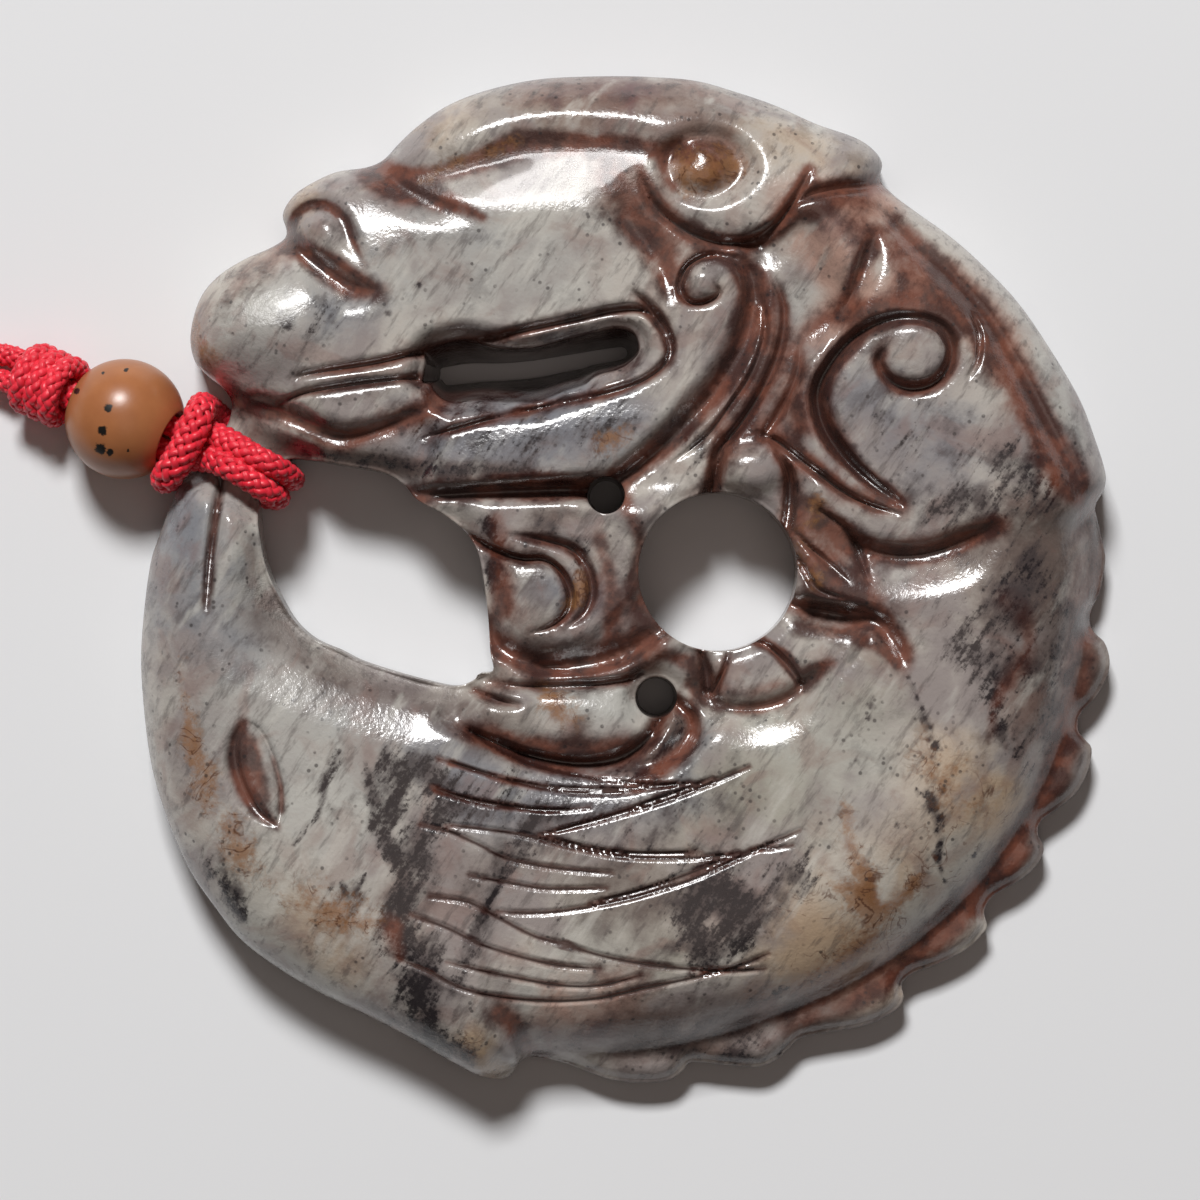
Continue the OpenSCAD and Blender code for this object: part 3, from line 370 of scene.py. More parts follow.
# The drilled holes: x, y and radius.
EYE_RING = (717, 572, 79)
DRILLED = [(606, 496, 19), (656, 697, 21)]


def to_mm(rows):
    """Grid rows as millimetres from the stone's middle; further columns stay as they are."""
    rows = np.array(rows, float)
    rows[:, 0] = (rows[:, 0] - GRID_MIDDLE[0]) * GRID
    rows[:, 1] = (GRID_MIDDLE[1] - rows[:, 1]) * GRID
    return rows


def with_reach(rows, columns):
    """Grid rows in millimetres, the named columns too."""
    rows = to_mm(rows)
    rows[:, columns] *= GRID
    return rows


def ease(share):
    """A share from 0 to 1 that starts and ends gently."""
    share = np.clip(share, 0, 1)
    return share * share * (3 - 2 * share)


def inside(points, loop):
    """Which points lie inside a closed line."""
    found = np.zeros(len(points), bool)
    for (ax, ay), (bx, by) in zip(loop, np.roll(loop, -1, axis=0)):
        if ay != by:
            crosses = (ay > points[:, 1]) != (by > points[:, 1])
            found ^= crosses & (points[:, 0] < (bx - ax) * (points[:, 1] - ay) / (by - ay) + ax)
    return found


def off_line(points, line, closed=False):
    """How far points are from a line."""
    nearest = np.full(len(points), 1e9)
    ends = np.roll(line, -1, axis=0) if closed else line[1:]
    for a, b in zip(line, ends):
        run, to = b[:2] - a[:2], points - a[:2]
        share = np.clip(to @ run / max(run @ run, 1e-12), 0, 1)
        nearest = np.minimum(nearest, np.hypot(*(to - share[:, None] * run).T))
    return nearest


def beside_stroke(points, stroke, soft=0.15):
    """For points near a stroke: distance, whether left of it, and its columns there, eased along it."""
    a, b = stroke[:-1], stroke[1:]
    run = b[:, :2] - a[:, :2]
    to = points[:, None, :] - a[None, :, :2]
    share = np.clip((to * run).sum(2) / np.maximum((run * run).sum(1), 1e-12), 0, 1)
    away = np.hypot(*np.moveaxis(to - share[..., None] * run, 2, 0))
    nearest = away.min(1)
    pull = np.exp(-(((away - nearest[:, None]) / soft) ** 2))
    pull /= pull.sum(1, keepdims=True)
    columns = (a[None, :, 2:] * (1 - share[..., None]) + b[None, :, 2:] * share[..., None]) * pull[..., None]
    best = away.argmin(1)
    rows = np.arange(len(points))
    left = run[best, 0] * to[rows, best, 1] - run[best, 1] * to[rows, best, 0] >= 0
    return nearest, left, columns.sum(1)


def near_box(points, line, margin):
    """Numbers of the points in the box round a line, widened by the margin."""
    low, high = line[:, :2].min(0) - margin, line[:, :2].max(0) + margin
    return np.flatnonzero(np.all((points > low) & (points < high), axis=1))


def evenly(line, gap, closed=False):
    """A line's points again, at even steps of about the gap."""
    if closed:
        line = np.vstack([line, line[:1]])
    run = np.concatenate([[0], np.cumsum(np.hypot(*np.diff(line[:, :2], axis=0).T))])
    marks = np.linspace(0, run[-1], max(2, round(run[-1] / gap)), endpoint=not closed)
    return np.stack([np.interp(marks, run, column) for column in line.T], 1)


def circle(x, y, radius):
    """The rim of a drilled hole."""
    angle = np.linspace(0, math.tau, 240, endpoint=False)
    return to_mm([(x, y)])[0] + radius * GRID * np.stack([np.cos(angle), np.sin(angle)], 1)


# The rims are the outside, the big hole, the mouth, the round hole and the two drilled ones.
RIM_GAP, DRILLED_RIM_GAP = 0.2, 0.14
outer_rim = evenly(flowing(to_mm(OUTLINE), 6, True), RIM_GAP, True)
hole_rims = [evenly(flowing(to_mm(rows), 6, True), RIM_GAP, True) for rows in (BIG_HOLE, MOUTH)]
hole_rims += [evenly(circle(*EYE_RING), RIM_GAP, True)]
hole_rims += [evenly(circle(*ring), DRILLED_RIM_GAP, True) for ring in DRILLED]
rims = [outer_rim, *hole_rims]
body_line = flowing(to_mm(BODY_EDGE), 6, True)

# The carver drew the dragon with a wheel: bevelled cuts for its features, facets for its brow and jaw.
# A cut is a power, a stain and its rows; a row is x, y, reach to the left and to the right of the stroke,
# and depth in millimetres. The stain is how strong and how wide its dirt shows.
CUTS = {
    "brow": (1.05, (0.9, 13), [
        (386, 170, 8, 10, 0.3), (430, 180, 22, 30, 0.6), (482, 166, 28, 52, 0.85), (530, 152, 30, 64, 0.95),
        (600, 150, 30, 62, 0.84), (650, 154, 26, 40, 0.55), (684, 158, 10, 20, 0.3),
    ]),
    "wedge": (1.3, (1, 9), [
        (384, 166, 6, 10, 0), (402, 186, 8, 30, 0.7), (440, 206, 7, 32, 0.7), (484, 224, 4, 8, 0),
    ]),
    "nostril": (1.2, (0.9, 6), [
        (289, 230, 4, 10, 0.2), (303, 212, 6, 20, 0.7), (325, 206, 6, 24, 0.9), (344, 219, 6, 20, 0.8),
        (354, 242, 5, 14, 0.6), (368, 270, 3, 6, 0),
    ]),
    "nose_crease": (1.3, (1, 14), [
        (292, 236, 6, 6, 0.1), (312, 262, 14, 14, 0.9), (340, 283, 14, 28, 1.1), (362, 293, 10, 26, 0.8),
        (384, 294, 4, 6, 0),
    ]),
    "upper_lip": (1.2, (0.8, 9), [
        (296, 382, 4, 4, 0), (318, 375, 6, 6, 0.5), (380, 365, 7, 7, 0.7), (428, 353, 7, 7, 0.7),
        (475, 342, 7, 7, 0.7), (510, 336, 7, 7, 0.7), (575, 322, 7, 7, 0.7), (614, 313, 7, 8, 0.8),
        (645, 314, 8, 8, 0.9), (662, 330, 9, 9, 0.9), (670, 350, 8, 8, 0.8), (664, 367, 7, 7, 0.7),
        (640, 384, 7, 7, 0.7), (608, 395, 7, 7, 0.7), (575, 402, 7, 7, 0.7), (532, 411, 7, 7, 0.7),
        (488, 422, 6, 6, 0.6), (445, 434, 5, 5, 0.4), (420, 441, 3, 3, 0),
    ]),
    "lower_lip": (1.3, (0.8, 8), [
        (280, 405, 4, 4, 0.1), (296, 399, 6, 5, 0.5), (318, 393, 7, 6, 0.6), (370, 385, 7, 6, 0.6),
        (418, 380, 6, 6, 0.5),
    ]),
    "chin_fold": (1.7, (1, 17), [
        (228, 396, 10, 14, 0.3), (262, 407, 16, 18, 0.8), (300, 422, 18, 18, 1.0), (334, 437, 16, 14, 0.9),
        (358, 438, 11, 9, 0.8), (388, 428, 9, 8, 0.7), (424, 413, 8, 7, 0.6), (452, 407, 4, 4, 0),
    ]),
    "lip_spur": (1.4, (0.8, 10), [
        (628, 292, 4, 4, 0), (644, 305, 8, 8, 0.6), (658, 322, 9, 9, 0.8), (668, 345, 9, 9, 0.6), (668, 365, 6, 6, 0),
    ]),
    "eyelid": (1.4, (1, 12), [
        (636, 172, 4, 4, 0), (650, 205, 8, 8, 0.6), (673, 226, 9, 9, 0.8), (700, 241, 9, 9, 0.8),
        (726, 246, 9, 9, 0.8), (753, 243, 9, 9, 0.8), (777, 226, 8, 8, 0.7), (796, 199, 7, 7, 0.5),
        (808, 174, 4, 4, 0),
    ]),
    "cheek_front": (1.4, (0.5, 14), [
        (584, 200, 20, 6, 0), (619, 224, 36, 12, 0.5), (646, 255, 36, 12, 0.6), (665, 290, 20, 8, 0.3),
        (668, 312, 8, 6, 0),
    ]),
    "cheek_curl": (1.3, (0.9, 8), [
        (734, 262, 5, 5, 0.2), (710, 258, 6, 6, 0.6), (688, 268, 6, 6, 0.8), (679, 288, 6, 6, 0.8),
        (686, 304, 6, 6, 0.8), (702, 306, 6, 6, 0.7), (718, 297, 5, 5, 0.5), (712, 286, 3, 3, 0),
    ]),
    "jaw_rear": (1.3, (1, 15), [
        (700, 250, 6, 6, 0.2), (728, 258, 12, 8, 1.0), (747, 275, 16, 12, 1.5), (752, 301, 16, 16, 1.6),
        (748, 330, 16, 18, 1.7), (738, 356, 16, 20, 1.7), (716, 391, 16, 22, 1.8), (690, 420, 14, 22, 1.8),
        (664, 446, 12, 20, 1.8), (640, 466, 10, 16, 1.8), (616, 482, 8, 10, 1.6),
    ]),
    "mane_front": (1.2, (0.9, 9), [
        (770, 276, 5, 5, 0), (783, 310, 7, 7, 0.5), (779, 350, 7, 7, 0.6), (762, 390, 7, 7, 0.6),
        (740, 425, 7, 7, 0.7), (716, 455, 7, 7, 0.7), (712, 480, 6, 6, 0.5),
    ]),
    "mane_facet": (1.1, (0, 1), [
        (722, 254, 3, 14, 0.2), (742, 249, 4, 34, 0.7), (768, 241, 4, 34, 0.72), (790, 231, 3, 14, 0.1),
    ]),
    "mane_rear": (1.2, (0.9, 9), [
        (800, 345, 5, 5, 0), (795, 380, 8, 8, 0.6), (778, 415, 8, 8, 0.6), (762, 438, 6, 6, 0.4),
    ]),
    "mane_middle": (1.2, (0.7, 7), [
        (757, 290, 4, 4, 0), (764, 330, 5, 5, 0.4), (752, 372, 5, 5, 0.4), (727, 410, 5, 5, 0.4),
        (703, 440, 5, 5, 0.4), (668, 466, 4, 4, 0),
    ]),
    "hair_gap": (1.4, (1, 14), [
        (722, 440, 8, 8, 0.3), (716, 470, 12, 12, 1.2), (708, 500, 12, 12, 1.2), (694, 520, 10, 10, 0.9),
    ]),
    "head_rear": (1.4, (1, 12), [
        (888, 182, 10, 10, 0.4), (862, 188, 12, 12, 0.6), (835, 192, 11, 11, 0.6), (806, 200, 9, 9, 0.5),
        (785, 216, 5, 5, 0),
    ]),
    "neck_notch": (1.2, (1, 8), [
        (872, 236, 6, 4, 0), (866, 252, 16, 5, 0.8), (856, 280, 20, 5, 0.9), (846, 306, 14, 5, 0.7),
        (838, 322, 5, 4, 0),
    ]),
    "shoulder_spiral": (1.1, (1, 12), [
        (886, 346, 4, 4, 0), (876, 364, 8, 8, 0.6), (886, 382, 9, 9, 0.9), (906, 391, 10, 9, 1.0),
        (928, 387, 10, 9, 1.0), (944, 372, 10, 9, 1.1), (949, 350, 10, 9, 1.1), (938, 330, 10, 9, 0.8),
        (914, 321, 10, 8, 0.7), (884, 323, 11, 9, 0.8), (854, 338, 12, 10, 1.1), (830, 364, 13, 11, 1.5),
        (816, 394, 14, 12, 1.6), (822, 428, 13, 12, 1.6), (843, 459, 12, 12, 1.5), (872, 486, 9, 9, 1.1),
        (902, 508, 4, 4, 0),
    ]),
    "spiral_lip": (1.3, (0.8, 8), [
        (966, 312, 4, 4, 0), (976, 335, 5, 5, 0.5), (974, 362, 5, 5, 0.4), (962, 384, 4, 4, 0),
    ]),
    "sickle": (1.3, (1, 11), [
        (752, 432, 4, 4, 0), (775, 442, 6, 8, 0.6), (806, 466, 6, 8, 0.8), (840, 492, 6, 8, 0.8),
        (872, 508, 5, 6, 0.5), (900, 516, 4, 4, 0),
    ]),
    "dorsal": (1.5, (0.5, 14), [
        (884, 212, 8, 16, 0.2), (915, 246, 12, 26, 0.6), (950, 278, 12, 30, 0.8), (985, 316, 12, 32, 0.8),
        (1016, 366, 12, 32, 0.8), (1044, 420, 12, 28, 0.8), (1068, 470, 12, 20, 0.6), (1086, 505, 8, 10, 0),
    ]),
    "belly": (1.5, (1, 14), [
        (808, 505, 5, 6, 0), (829, 526, 10, 30, 0.7), (850, 541, 11, 44, 1.1), (888, 553, 12, 52, 1.3),
        (928, 551, 12, 52, 1.3), (968, 536, 11, 44, 1.1), (1002, 524, 6, 16, 0),
    ]),
    "petal_middle": (1.3, (0.8, 7), [
        (790, 530, 4, 4, 0), (805, 545, 5, 6, 0.5), (826, 563, 5, 6, 0.5), (848, 584, 4, 4, 0),
    ]),
    "petal_upper": (1.3, (1, 9), [
        (818, 512, 5, 5, 0.2), (842, 528, 7, 7, 0.6), (856, 550, 7, 7, 0.6), (866, 580, 5, 5, 0.2),
    ]),
    "petal_lower": (1.3, (0.8, 7), [
        (786, 546, 4, 4, 0), (800, 566, 5, 5, 0.4), (816, 590, 5, 5, 0.4), (850, 600, 4, 4, 0),
    ]),
    "bump_gap": (1.3, (1, 12), [
        (776, 452, 6, 6, 0.2), (788, 476, 9, 8, 1.2), (788, 505, 10, 9, 1.3), (784, 532, 8, 8, 0.8),
    ]),
    "thigh": (1.4, (1, 15), [
        (780, 601, 10, 14, 1.4), (815, 608, 12, 26, 1.8), (850, 614, 12, 26, 1.8), (876, 622, 12, 16, 1.5),
        (890, 642, 14, 9, 1.2), (904, 668, 6, 4, 0),
    ]),
    "hind_toe_top": (1.3, (0.9, 8), [
        (748, 637, 5, 5, 0.2), (768, 647, 6, 7, 0.7), (786, 664, 6, 7, 0.7), (800, 684, 5, 6, 0.5),
    ]),
    "hind_paw_facet": (1.2, (0.9, 10), [
        (690, 684, 8, 12, 0.5), (712, 702, 10, 30, 0.85), (745, 708, 10, 42, 0.95), (780, 700, 10, 42, 0.95),
        (806, 681, 8, 32, 0.7), (832, 660, 5, 10, 0),
    ]),
    "hind_paw_edge": (1.4, (0.9, 9), [(700, 650, 5, 5, 0.3), (706, 672, 8, 8, 0.7), (708, 692, 8, 8, 0.7)]),
    "hind_paw_slit": (1.4, (0.9, 7), [(727, 655, 4, 4, 0.2), (722, 672, 6, 6, 0.5), (712, 692, 6, 6, 0.6)]),
    "paw_slot": (1.4, (1, 12), [
        (676, 700, 6, 14, 1.2), (692, 714, 6, 34, 1.6), (694, 732, 7, 42, 1.6), (684, 750, 9, 38, 1.3),
        (664, 766, 8, 24, 0.8), (640, 778, 6, 10, 0),
    ]),
    "leg_claw": (1.3, (0.9, 8), [
        (462, 530, 4, 4, 0.2), (492, 549, 6, 7, 0.8), (521, 559, 6, 7, 1.0), (545, 560, 6, 6, 1.0),
        (562, 573, 6, 6, 1.0), (571, 594, 6, 6, 0.9), (568, 612, 5, 6, 0.7), (552, 626, 4, 5, 0.4),
        (530, 634, 3, 4, 0),
    ]),
    "leg_outer": (1.4, (0.9, 9), [
        (508, 535, 5, 5, 0), (545, 541, 8, 8, 0.6), (572, 550, 10, 8, 0.9), (588, 570, 9, 8, 0.7),
        (592, 594, 8, 8, 0.6), (584, 614, 7, 7, 0.4), (566, 628, 4, 4, 0),
    ]),
    "leg_under": (1.5, (0.9, 16), [
        (488, 628, 12, 6, 0.5), (500, 648, 22, 9, 1.2), (528, 664, 28, 10, 1.5), (575, 668, 30, 10, 1.6),
        (618, 659, 26, 10, 1.5), (652, 640, 18, 8, 1.1), (668, 625, 10, 6, 0.6),
    ]),
    "toe_top": (1.4, (0.7, 10), [
        (490, 682, 6, 8, 0.3), (530, 686, 9, 10, 0.7), (580, 685, 9, 10, 0.8), (622, 680, 8, 9, 0.7),
        (640, 672, 6, 6, 0.3),
    ]),
    "toe_low": (1.4, (0.9, 14), [
        (452, 722, 5, 5, 0), (490, 739, 10, 10, 0.8), (530, 755, 10, 13, 1.2), (580, 763, 10, 15, 1.3),
        (620, 757, 12, 15, 1.3), (648, 738, 14, 14, 1.2), (662, 714, 12, 12, 1.1),
    ]),
    "toe_end": (1.4, (0.7, 8), [(474, 690, 8, 8, 0.5), (500, 700, 8, 10, 0.8), (520, 704, 6, 6, 0.3)]),
    "chin_saw": (1.2, (1, 14), [
        (408, 496, 3, 3, 0.3), (440, 494, 5, 8, 1.6), (490, 492, 7, 12, 2.4), (540, 491, 9, 13, 3.0),
        (580, 491, 13, 13, 3.2), (606, 494, 18, 16, 3.4),
    ]),
    "tail_groove": (1.2, (0.7, 7), [
        (222, 480, 5, 5, 0.3), (221, 498, 8, 8, 0.9), (217, 530, 8, 8, 1.0), (213, 565, 7, 7, 0.8),
        (210, 612, 4, 4, 0),
    ]),
    "tail_lens": (1.3, (1, 8), [
        (249, 719, 4, 4, 0), (241, 738, 6, 12, 0.45), (240, 760, 7, 15, 0.65), (248, 787, 7, 15, 0.65),
        (262, 810, 6, 10, 0.45), (281, 824, 4, 4, 0),
    ]),
    "tail_lens_edge": (1.3, (0.25, 4), [
        (249, 719, 3, 3, 0), (264, 730, 4, 4, 0.2), (276, 755, 5, 4, 0.3), (284, 785, 5, 4, 0.35),
        (284, 808, 5, 4, 0.3), (281, 824, 3, 3, 0),
    ]),
    "tail_bevel": (1.2, (0, 1), [
        (259, 540, 4, 20, 0.1), (268, 575, 4, 66, 1.0), (290, 615, 4, 88, 1.7), (330, 645, 4, 76, 1.5),
        (396, 672, 4, 72, 1.4), (440, 683, 4, 62, 1.2), (480, 674, 4, 30, 0.5),
    ]),
    "flank_bevel": (1.2, (0, 1), [
        (460, 720, 4, 16, 0.2), (500, 748, 4, 34, 0.64), (545, 764, 4, 38, 0.72), (590, 770, 4, 38, 0.72),
        (636, 764, 4, 34, 0.64), (672, 752, 4, 20, 0.3),
    ]),
    "first_fin": (1.4, (0.7, 10), [(1096, 505, 20, 20, 1.0), (1078, 530, 14, 14, 0.4), (1062, 560, 8, 8, 0)]),
    "second_fin": (1.4, (0.7, 10), [(1094, 616, 20, 20, 1.0), (1080, 640, 12, 12, 0.3)]),
}
# Cuts that reach further than this, in millimetres, are facets. They are polished with the broad forms.
FACET_REACH = 0.8
# Hair lines scratched over the flank in three tufts, each a fine vee: x and y along it.
HAIR = [
    [(470, 730), (500, 749), (540, 766), (580, 775), (620, 780), (655, 783), (700, 781)],
    [(440, 757), (480, 769), (520, 782), (560, 790), (600, 792), (640, 789)],
    [(452, 762), (500, 776), (550, 785), (600, 787), (650, 786), (690, 781)],
    [(434, 785), (470, 796), (510, 803), (550, 808), (590, 806)],
    [(438, 790), (480, 801), (520, 807), (560, 810)],
    [(540, 832), (580, 824), (620, 813), (660, 801), (700, 786), (748, 765)],
    [(556, 828), (600, 816), (640, 803), (680, 789), (712, 776)],
    [(422, 822), (450, 829), (480, 842), (505, 855), (540, 863), (580, 868), (612, 870)],
    [(446, 822), (480, 826), (515, 831), (545, 838), (580, 847), (620, 854), (660, 856), (700, 855), (738, 851)],
    [(545, 834), (580, 843), (620, 850), (660, 851), (700, 849)],
    [(470, 872), (510, 880), (550, 886), (606, 885)],
    [(498, 908), (530, 910), (570, 907), (620, 898), (660, 887), (700, 873), (745, 852), (798, 828)],
    [(590, 900), (640, 888), (690, 870), (730, 854)],
    [(750, 848), (770, 846), (791, 843)],
    [(432, 893), (470, 899), (500, 915), (535, 933), (565, 941)],
    [(565, 941), (600, 952), (640, 960), (680, 965), (730, 968), (765, 966)],
    [(415, 912), (450, 925), (480, 940), (520, 953), (560, 962), (600, 965)],
    [(448, 958), (480, 966), (520, 975), (560, 982), (600, 982), (640, 972)],
    [(400, 955), (430, 967), (460, 983), (500, 993), (550, 998), (600, 995), (640, 986), (690, 975), (735, 964),
     (768, 950)],
]
# A hair line's depth counts this many times over in the darkening of the cuts, which paints dirt and shade.
HAIR_REACH, HAIR_DEPTH, HAIR_DIRT_AND_SHADE = 3.2 * GRID, 0.26, 6
# They start at this share of their depth and are at their full depth so many millimetres on.
HAIR_START, HAIR_RUN_IN = 0.35, 1.6
# Rounded swellings and hollows: x, y, half length, half width, turn in degrees, height in millimetres.
MOUNDS = {
    "eye_ball": (700, 172, 35, 32, 0, 0.85),
    "muzzle": (262, 322, 90, 70, 20, 0.5),
    "nose_bridge": (330, 205, 60, 34, 25, 0.2),
    "nostril_lobe": (318, 240, 30, 26, 0, 0.35),
    "curl_ball": (702, 285, 18, 18, 0, 0.45),
    "shoulder_ball": (914, 352, 42, 40, 0, 0.35),
    "throat_ball": (752, 470, 42, 28, 0, 0.8),
    "leg_ball": (532, 598, 46, 44, 0, 0.35),
    "toe": (572, 718, 94, 34, -6, 0.5),
    "jaw": (560, 450, 150, 40, 13, 0.25),
    "forehead": (600, 120, 260, 50, 0, 0.15),
}
# Areas cut back as a whole: change in millimetres, half width of its soft edge, closed outline.
LEVELS = {
    "eye_bowl": (-0.95, 0.5, [
        (664, 150), (684, 137), (710, 134), (734, 142), (750, 160), (752, 178), (736, 196), (710, 206), (686, 203),
        (668, 190), (660, 170),
    ]),
    "cord_seat": (-1.15, 0.5, [
        (196, 425), (235, 412), (275, 430), (318, 452), (305, 480), (280, 515), (250, 515), (212, 492), (180, 470),
    ]),
    "mane": (-0.9, 0.9, [
        (746, 248), (775, 238), (802, 222), (826, 250), (838, 300), (842, 330), (806, 360), (790, 400), (800, 440),
        (790, 520), (700, 500), (640, 500), (628, 478), (700, 425), (745, 370), (760, 310),
    ]),
    "foreleg": (-0.5, 0.5, [
        (450, 500), (600, 515), (650, 560), (655, 640), (600, 672), (520, 672), (490, 640), (480, 560),
    ]),
    "toes": (-0.8, 0.4, [
        (470, 680), (520, 668), (600, 676), (660, 655), (700, 650), (720, 700), (700, 740), (640, 770), (560, 765),
        (480, 738), (440, 715),
    ]),
    "hindleg": (-0.6, 0.4, [
        (700, 650), (740, 640), (800, 610), (850, 615), (860, 640), (830, 675), (780, 710), (705, 705),
    ]),
    "chin": (-0.7, 0.5, [
        (250, 405), (290, 402), (340, 430), (420, 420), (440, 440), (420, 500), (380, 478), (300, 470), (235, 440),
    ]),
    "nose_side": (-0.35, 0.5, [
        (640, 180), (690, 215), (740, 240), (720, 262), (680, 270), (668, 300), (640, 255), (615, 215),
    ]),
}


def wheel_cuts(points, wide):
    """Depth of the wheel's cuts at the points: the wide facets, or else the narrow grooves."""
    total = np.zeros(len(points))
    for power, _, rows in CUTS.values():
        stroke = flowing(with_reach(rows, [2, 3]), 5)
        reach = stroke[:, 2:4].max()
        if (reach > FACET_REACH) != wide:
            continue
        near = near_box(points, stroke, reach)
        away, left, columns = beside_stroke(points[near], stroke)
        across = np.where(left, columns[:, 0], columns[:, 1])
        depth = columns[:, 2] * np.clip(1 - away / np.maximum(across, 1e-3), 0, 1) ** power
        total[near] += np.clip(depth, 0, None) ** 3
    return np.cbrt(total)


def hair_lines(points):
    """Depth of the scratched hair lines at the points."""
    depth = np.zeros(len(points))
    for rows in HAIR:
        stroke = flowing(to_mm(rows), 4)
        near = near_box(points, stroke, HAIR_REACH)
        away = off_line(points[near], stroke)
        ends = np.minimum(np.hypot(*(points[near] - stroke[0]).T), np.hypot(*(points[near] - stroke[-1]).T))
        deep = HAIR_DEPTH * np.clip(HAIR_START + ends / HAIR_RUN_IN, 0, 1) * np.clip(1 - away / HAIR_REACH, 0, 1)
        depth[near] = np.maximum(depth[near], deep)
    return depth


# The body is a low dome that starts at the foot of the fins and levels off; all in millimetres.
DOME_FOOT, DOME_RISE, DOME_REACH, DOME_POWER = 3.1, 3.3, 5.0, 1.15
FIN_TOP, FIN_DROP, FIN_BEVEL, FIN_STEP = 2.3, 1.0, 0.8, 0.45
# Where the fins stand beside it, the dome starts lower and softer.
BESIDE_FINS, FOOT_DROP, FOOT_SOFT = 0.6, 0.4, 0.6
# How each hole's rim is rounded over: drop, reach and power.
HOLE_BEVELS = [(1.2, 1.6, 2), (1.3, 0.75, 1.3), (0.7, 0.6, 2), (0.3, 0.5, 1), (0.8, 0.7, 1)]


def stone_face(points):
    """Height of the stone's broad forms, before the narrow cuts."""
    away = off_line(points, body_line, True)
    on_body = inside(points, body_line)
    to_rim = off_line(points, outer_rim, True)
    by_fins = ease((to_rim - away) / BESIDE_FINS)
    share = np.where(on_body, away * away / (away + FOOT_SOFT * by_fins + 1e-9), 0) / DOME_REACH
    share = np.clip(share, 0, 1)
    height = DOME_FOOT - FOOT_DROP * by_fins + DOME_RISE * np.sqrt(1 - (1 - share) ** 2) ** DOME_POWER
    fin = FIN_TOP - FIN_DROP * np.clip(1 - to_rim / FIN_BEVEL, 0, 1) ** 2
    height = np.where(on_body, height, fin + (height - fin) * ease(1 - away / FIN_STEP))
    for rim, (drop, reach, power) in zip(hole_rims, HOLE_BEVELS):
        height -= drop * np.clip(1 - off_line(points, rim, True) / reach, 0, 1) ** power
    for change, soft, rows in LEVELS.values():
        area = flowing(to_mm(rows), 3, True)
        away = off_line(points, area, True)
        height += change * ease(0.5 + np.where(inside(points, area), away, -away) / (2 * soft))
    for x, y, long, wide, turn, rise in MOUNDS.values():
        off = points - to_mm([(x, y)])[0]
        turn = math.radians(turn)
        u = (off[:, 0] * math.cos(turn) + off[:, 1] * math.sin(turn)) / (long * GRID)
        v = (off[:, 1] * math.cos(turn) - off[:, 0] * math.sin(turn)) / (wide * GRID)
        height += rise * ease(1 - u * u - v * v)
    return height - wheel_cuts(points, wide=True)


# The polish rounds the creases off: the gap of the sheet it is worked out on, and the blur in gaps.
POLISH_GAP, POLISH_SPREAD, POLISH_REACH = 0.12, 1.5, 5


def polished_face(points):
    """The broad forms with their creases polished off: worked out on a fine sheet, blurred and read back."""
    low, high = points.min(0) - 1, points.max(0) + 1
    across, up = (np.arange(a, b, POLISH_GAP) for a, b in zip(low, high))
    places = np.stack(np.meshgrid(across, up, indexing="ij"), -1)
    sheet = stone_face(places.reshape(-1, 2)).reshape(len(across), len(up))
    spread = np.exp(-0.5 * (np.arange(-POLISH_REACH, POLISH_REACH + 1) / POLISH_SPREAD) ** 2)
    spread /= spread.sum()
    for axis in (0, 1):
        sheet = np.apply_along_axis(np.convolve, axis, sheet, spread, "same")
    cell = (points - low) / POLISH_GAP
    first = np.floor(cell).astype(int)
    t = (cell - first)[:, None, :]
    # Shares of the four nearest rows and columns, so that the face bends smoothly from one to the next.
    shares = np.concatenate([(1 - t) ** 3, 3 * t**3 - 6 * t**2 + 4, -3 * t**3 + 3 * t**2 + 3 * t + 1, t**3], axis=1)
    shares /= 6
    total = np.zeros(len(points))
    for i in range(4):
        for k in range(4):
            total += shares[:, i, 0] * shares[:, k, 1] * sheet[first[:, 0] + i - 1, first[:, 1] + k - 1]
    return total


def area_of(rim):
    """The area in a closed line, below zero when the line runs clockwise."""
    return 0.5 * np.sum(rim[:, 0] * np.roll(rim[:, 1], -1) - np.roll(rim[:, 0], -1) * rim[:, 1])


def inward(rim, hole):
    """Unit steps from a rim into the stone, evened out along it."""
    along = np.roll(rim, -1, axis=0) - np.roll(rim, 1, axis=0)
    step = np.stack([-along[:, 1], along[:, 0]], 1)
    step *= (1 if area_of(rim) > 0 else -1) * (-1 if hole else 1)
    for _ in range(2):
        step = np.roll(step, 1, axis=0) + 2 * step + np.roll(step, -1, axis=0)
    return step / np.linalg.norm(step, axis=1, keepdims=True)


def beside(stroke, shares):
    """Lines along a stroke, at shares of its reach to either side."""
    along = np.gradient(stroke[:, :2], axis=0)
    left = np.stack([-along[:, 1], along[:, 0]], 1) / np.maximum(np.linalg.norm(along, axis=1, keepdims=True), 1e-9)
    found = []
    for share in shares:
        found += [stroke[:, :2] + left * share * stroke[:, 2:3], stroke[:, :2] - left * share * stroke[:, 3:4]]
    return found


STONE_HALF_WIDTH, STONE_HALF_HEIGHT = 25, 26
ROW_SHARE = 0.866


def staggered(gap):
    """Points in staggered rows over the whole stone, all about the gap apart."""
    rows = []
    for i, y in enumerate(np.arange(-STONE_HALF_HEIGHT, STONE_HALF_HEIGHT, gap * ROW_SHARE)):
        x = np.arange(-STONE_HALF_WIDTH + (i % 2) * gap / 2, STONE_HALF_WIDTH, gap)
        rows.append(np.stack([x, np.full(len(x), y)], 1))
    return np.vstack(rows)


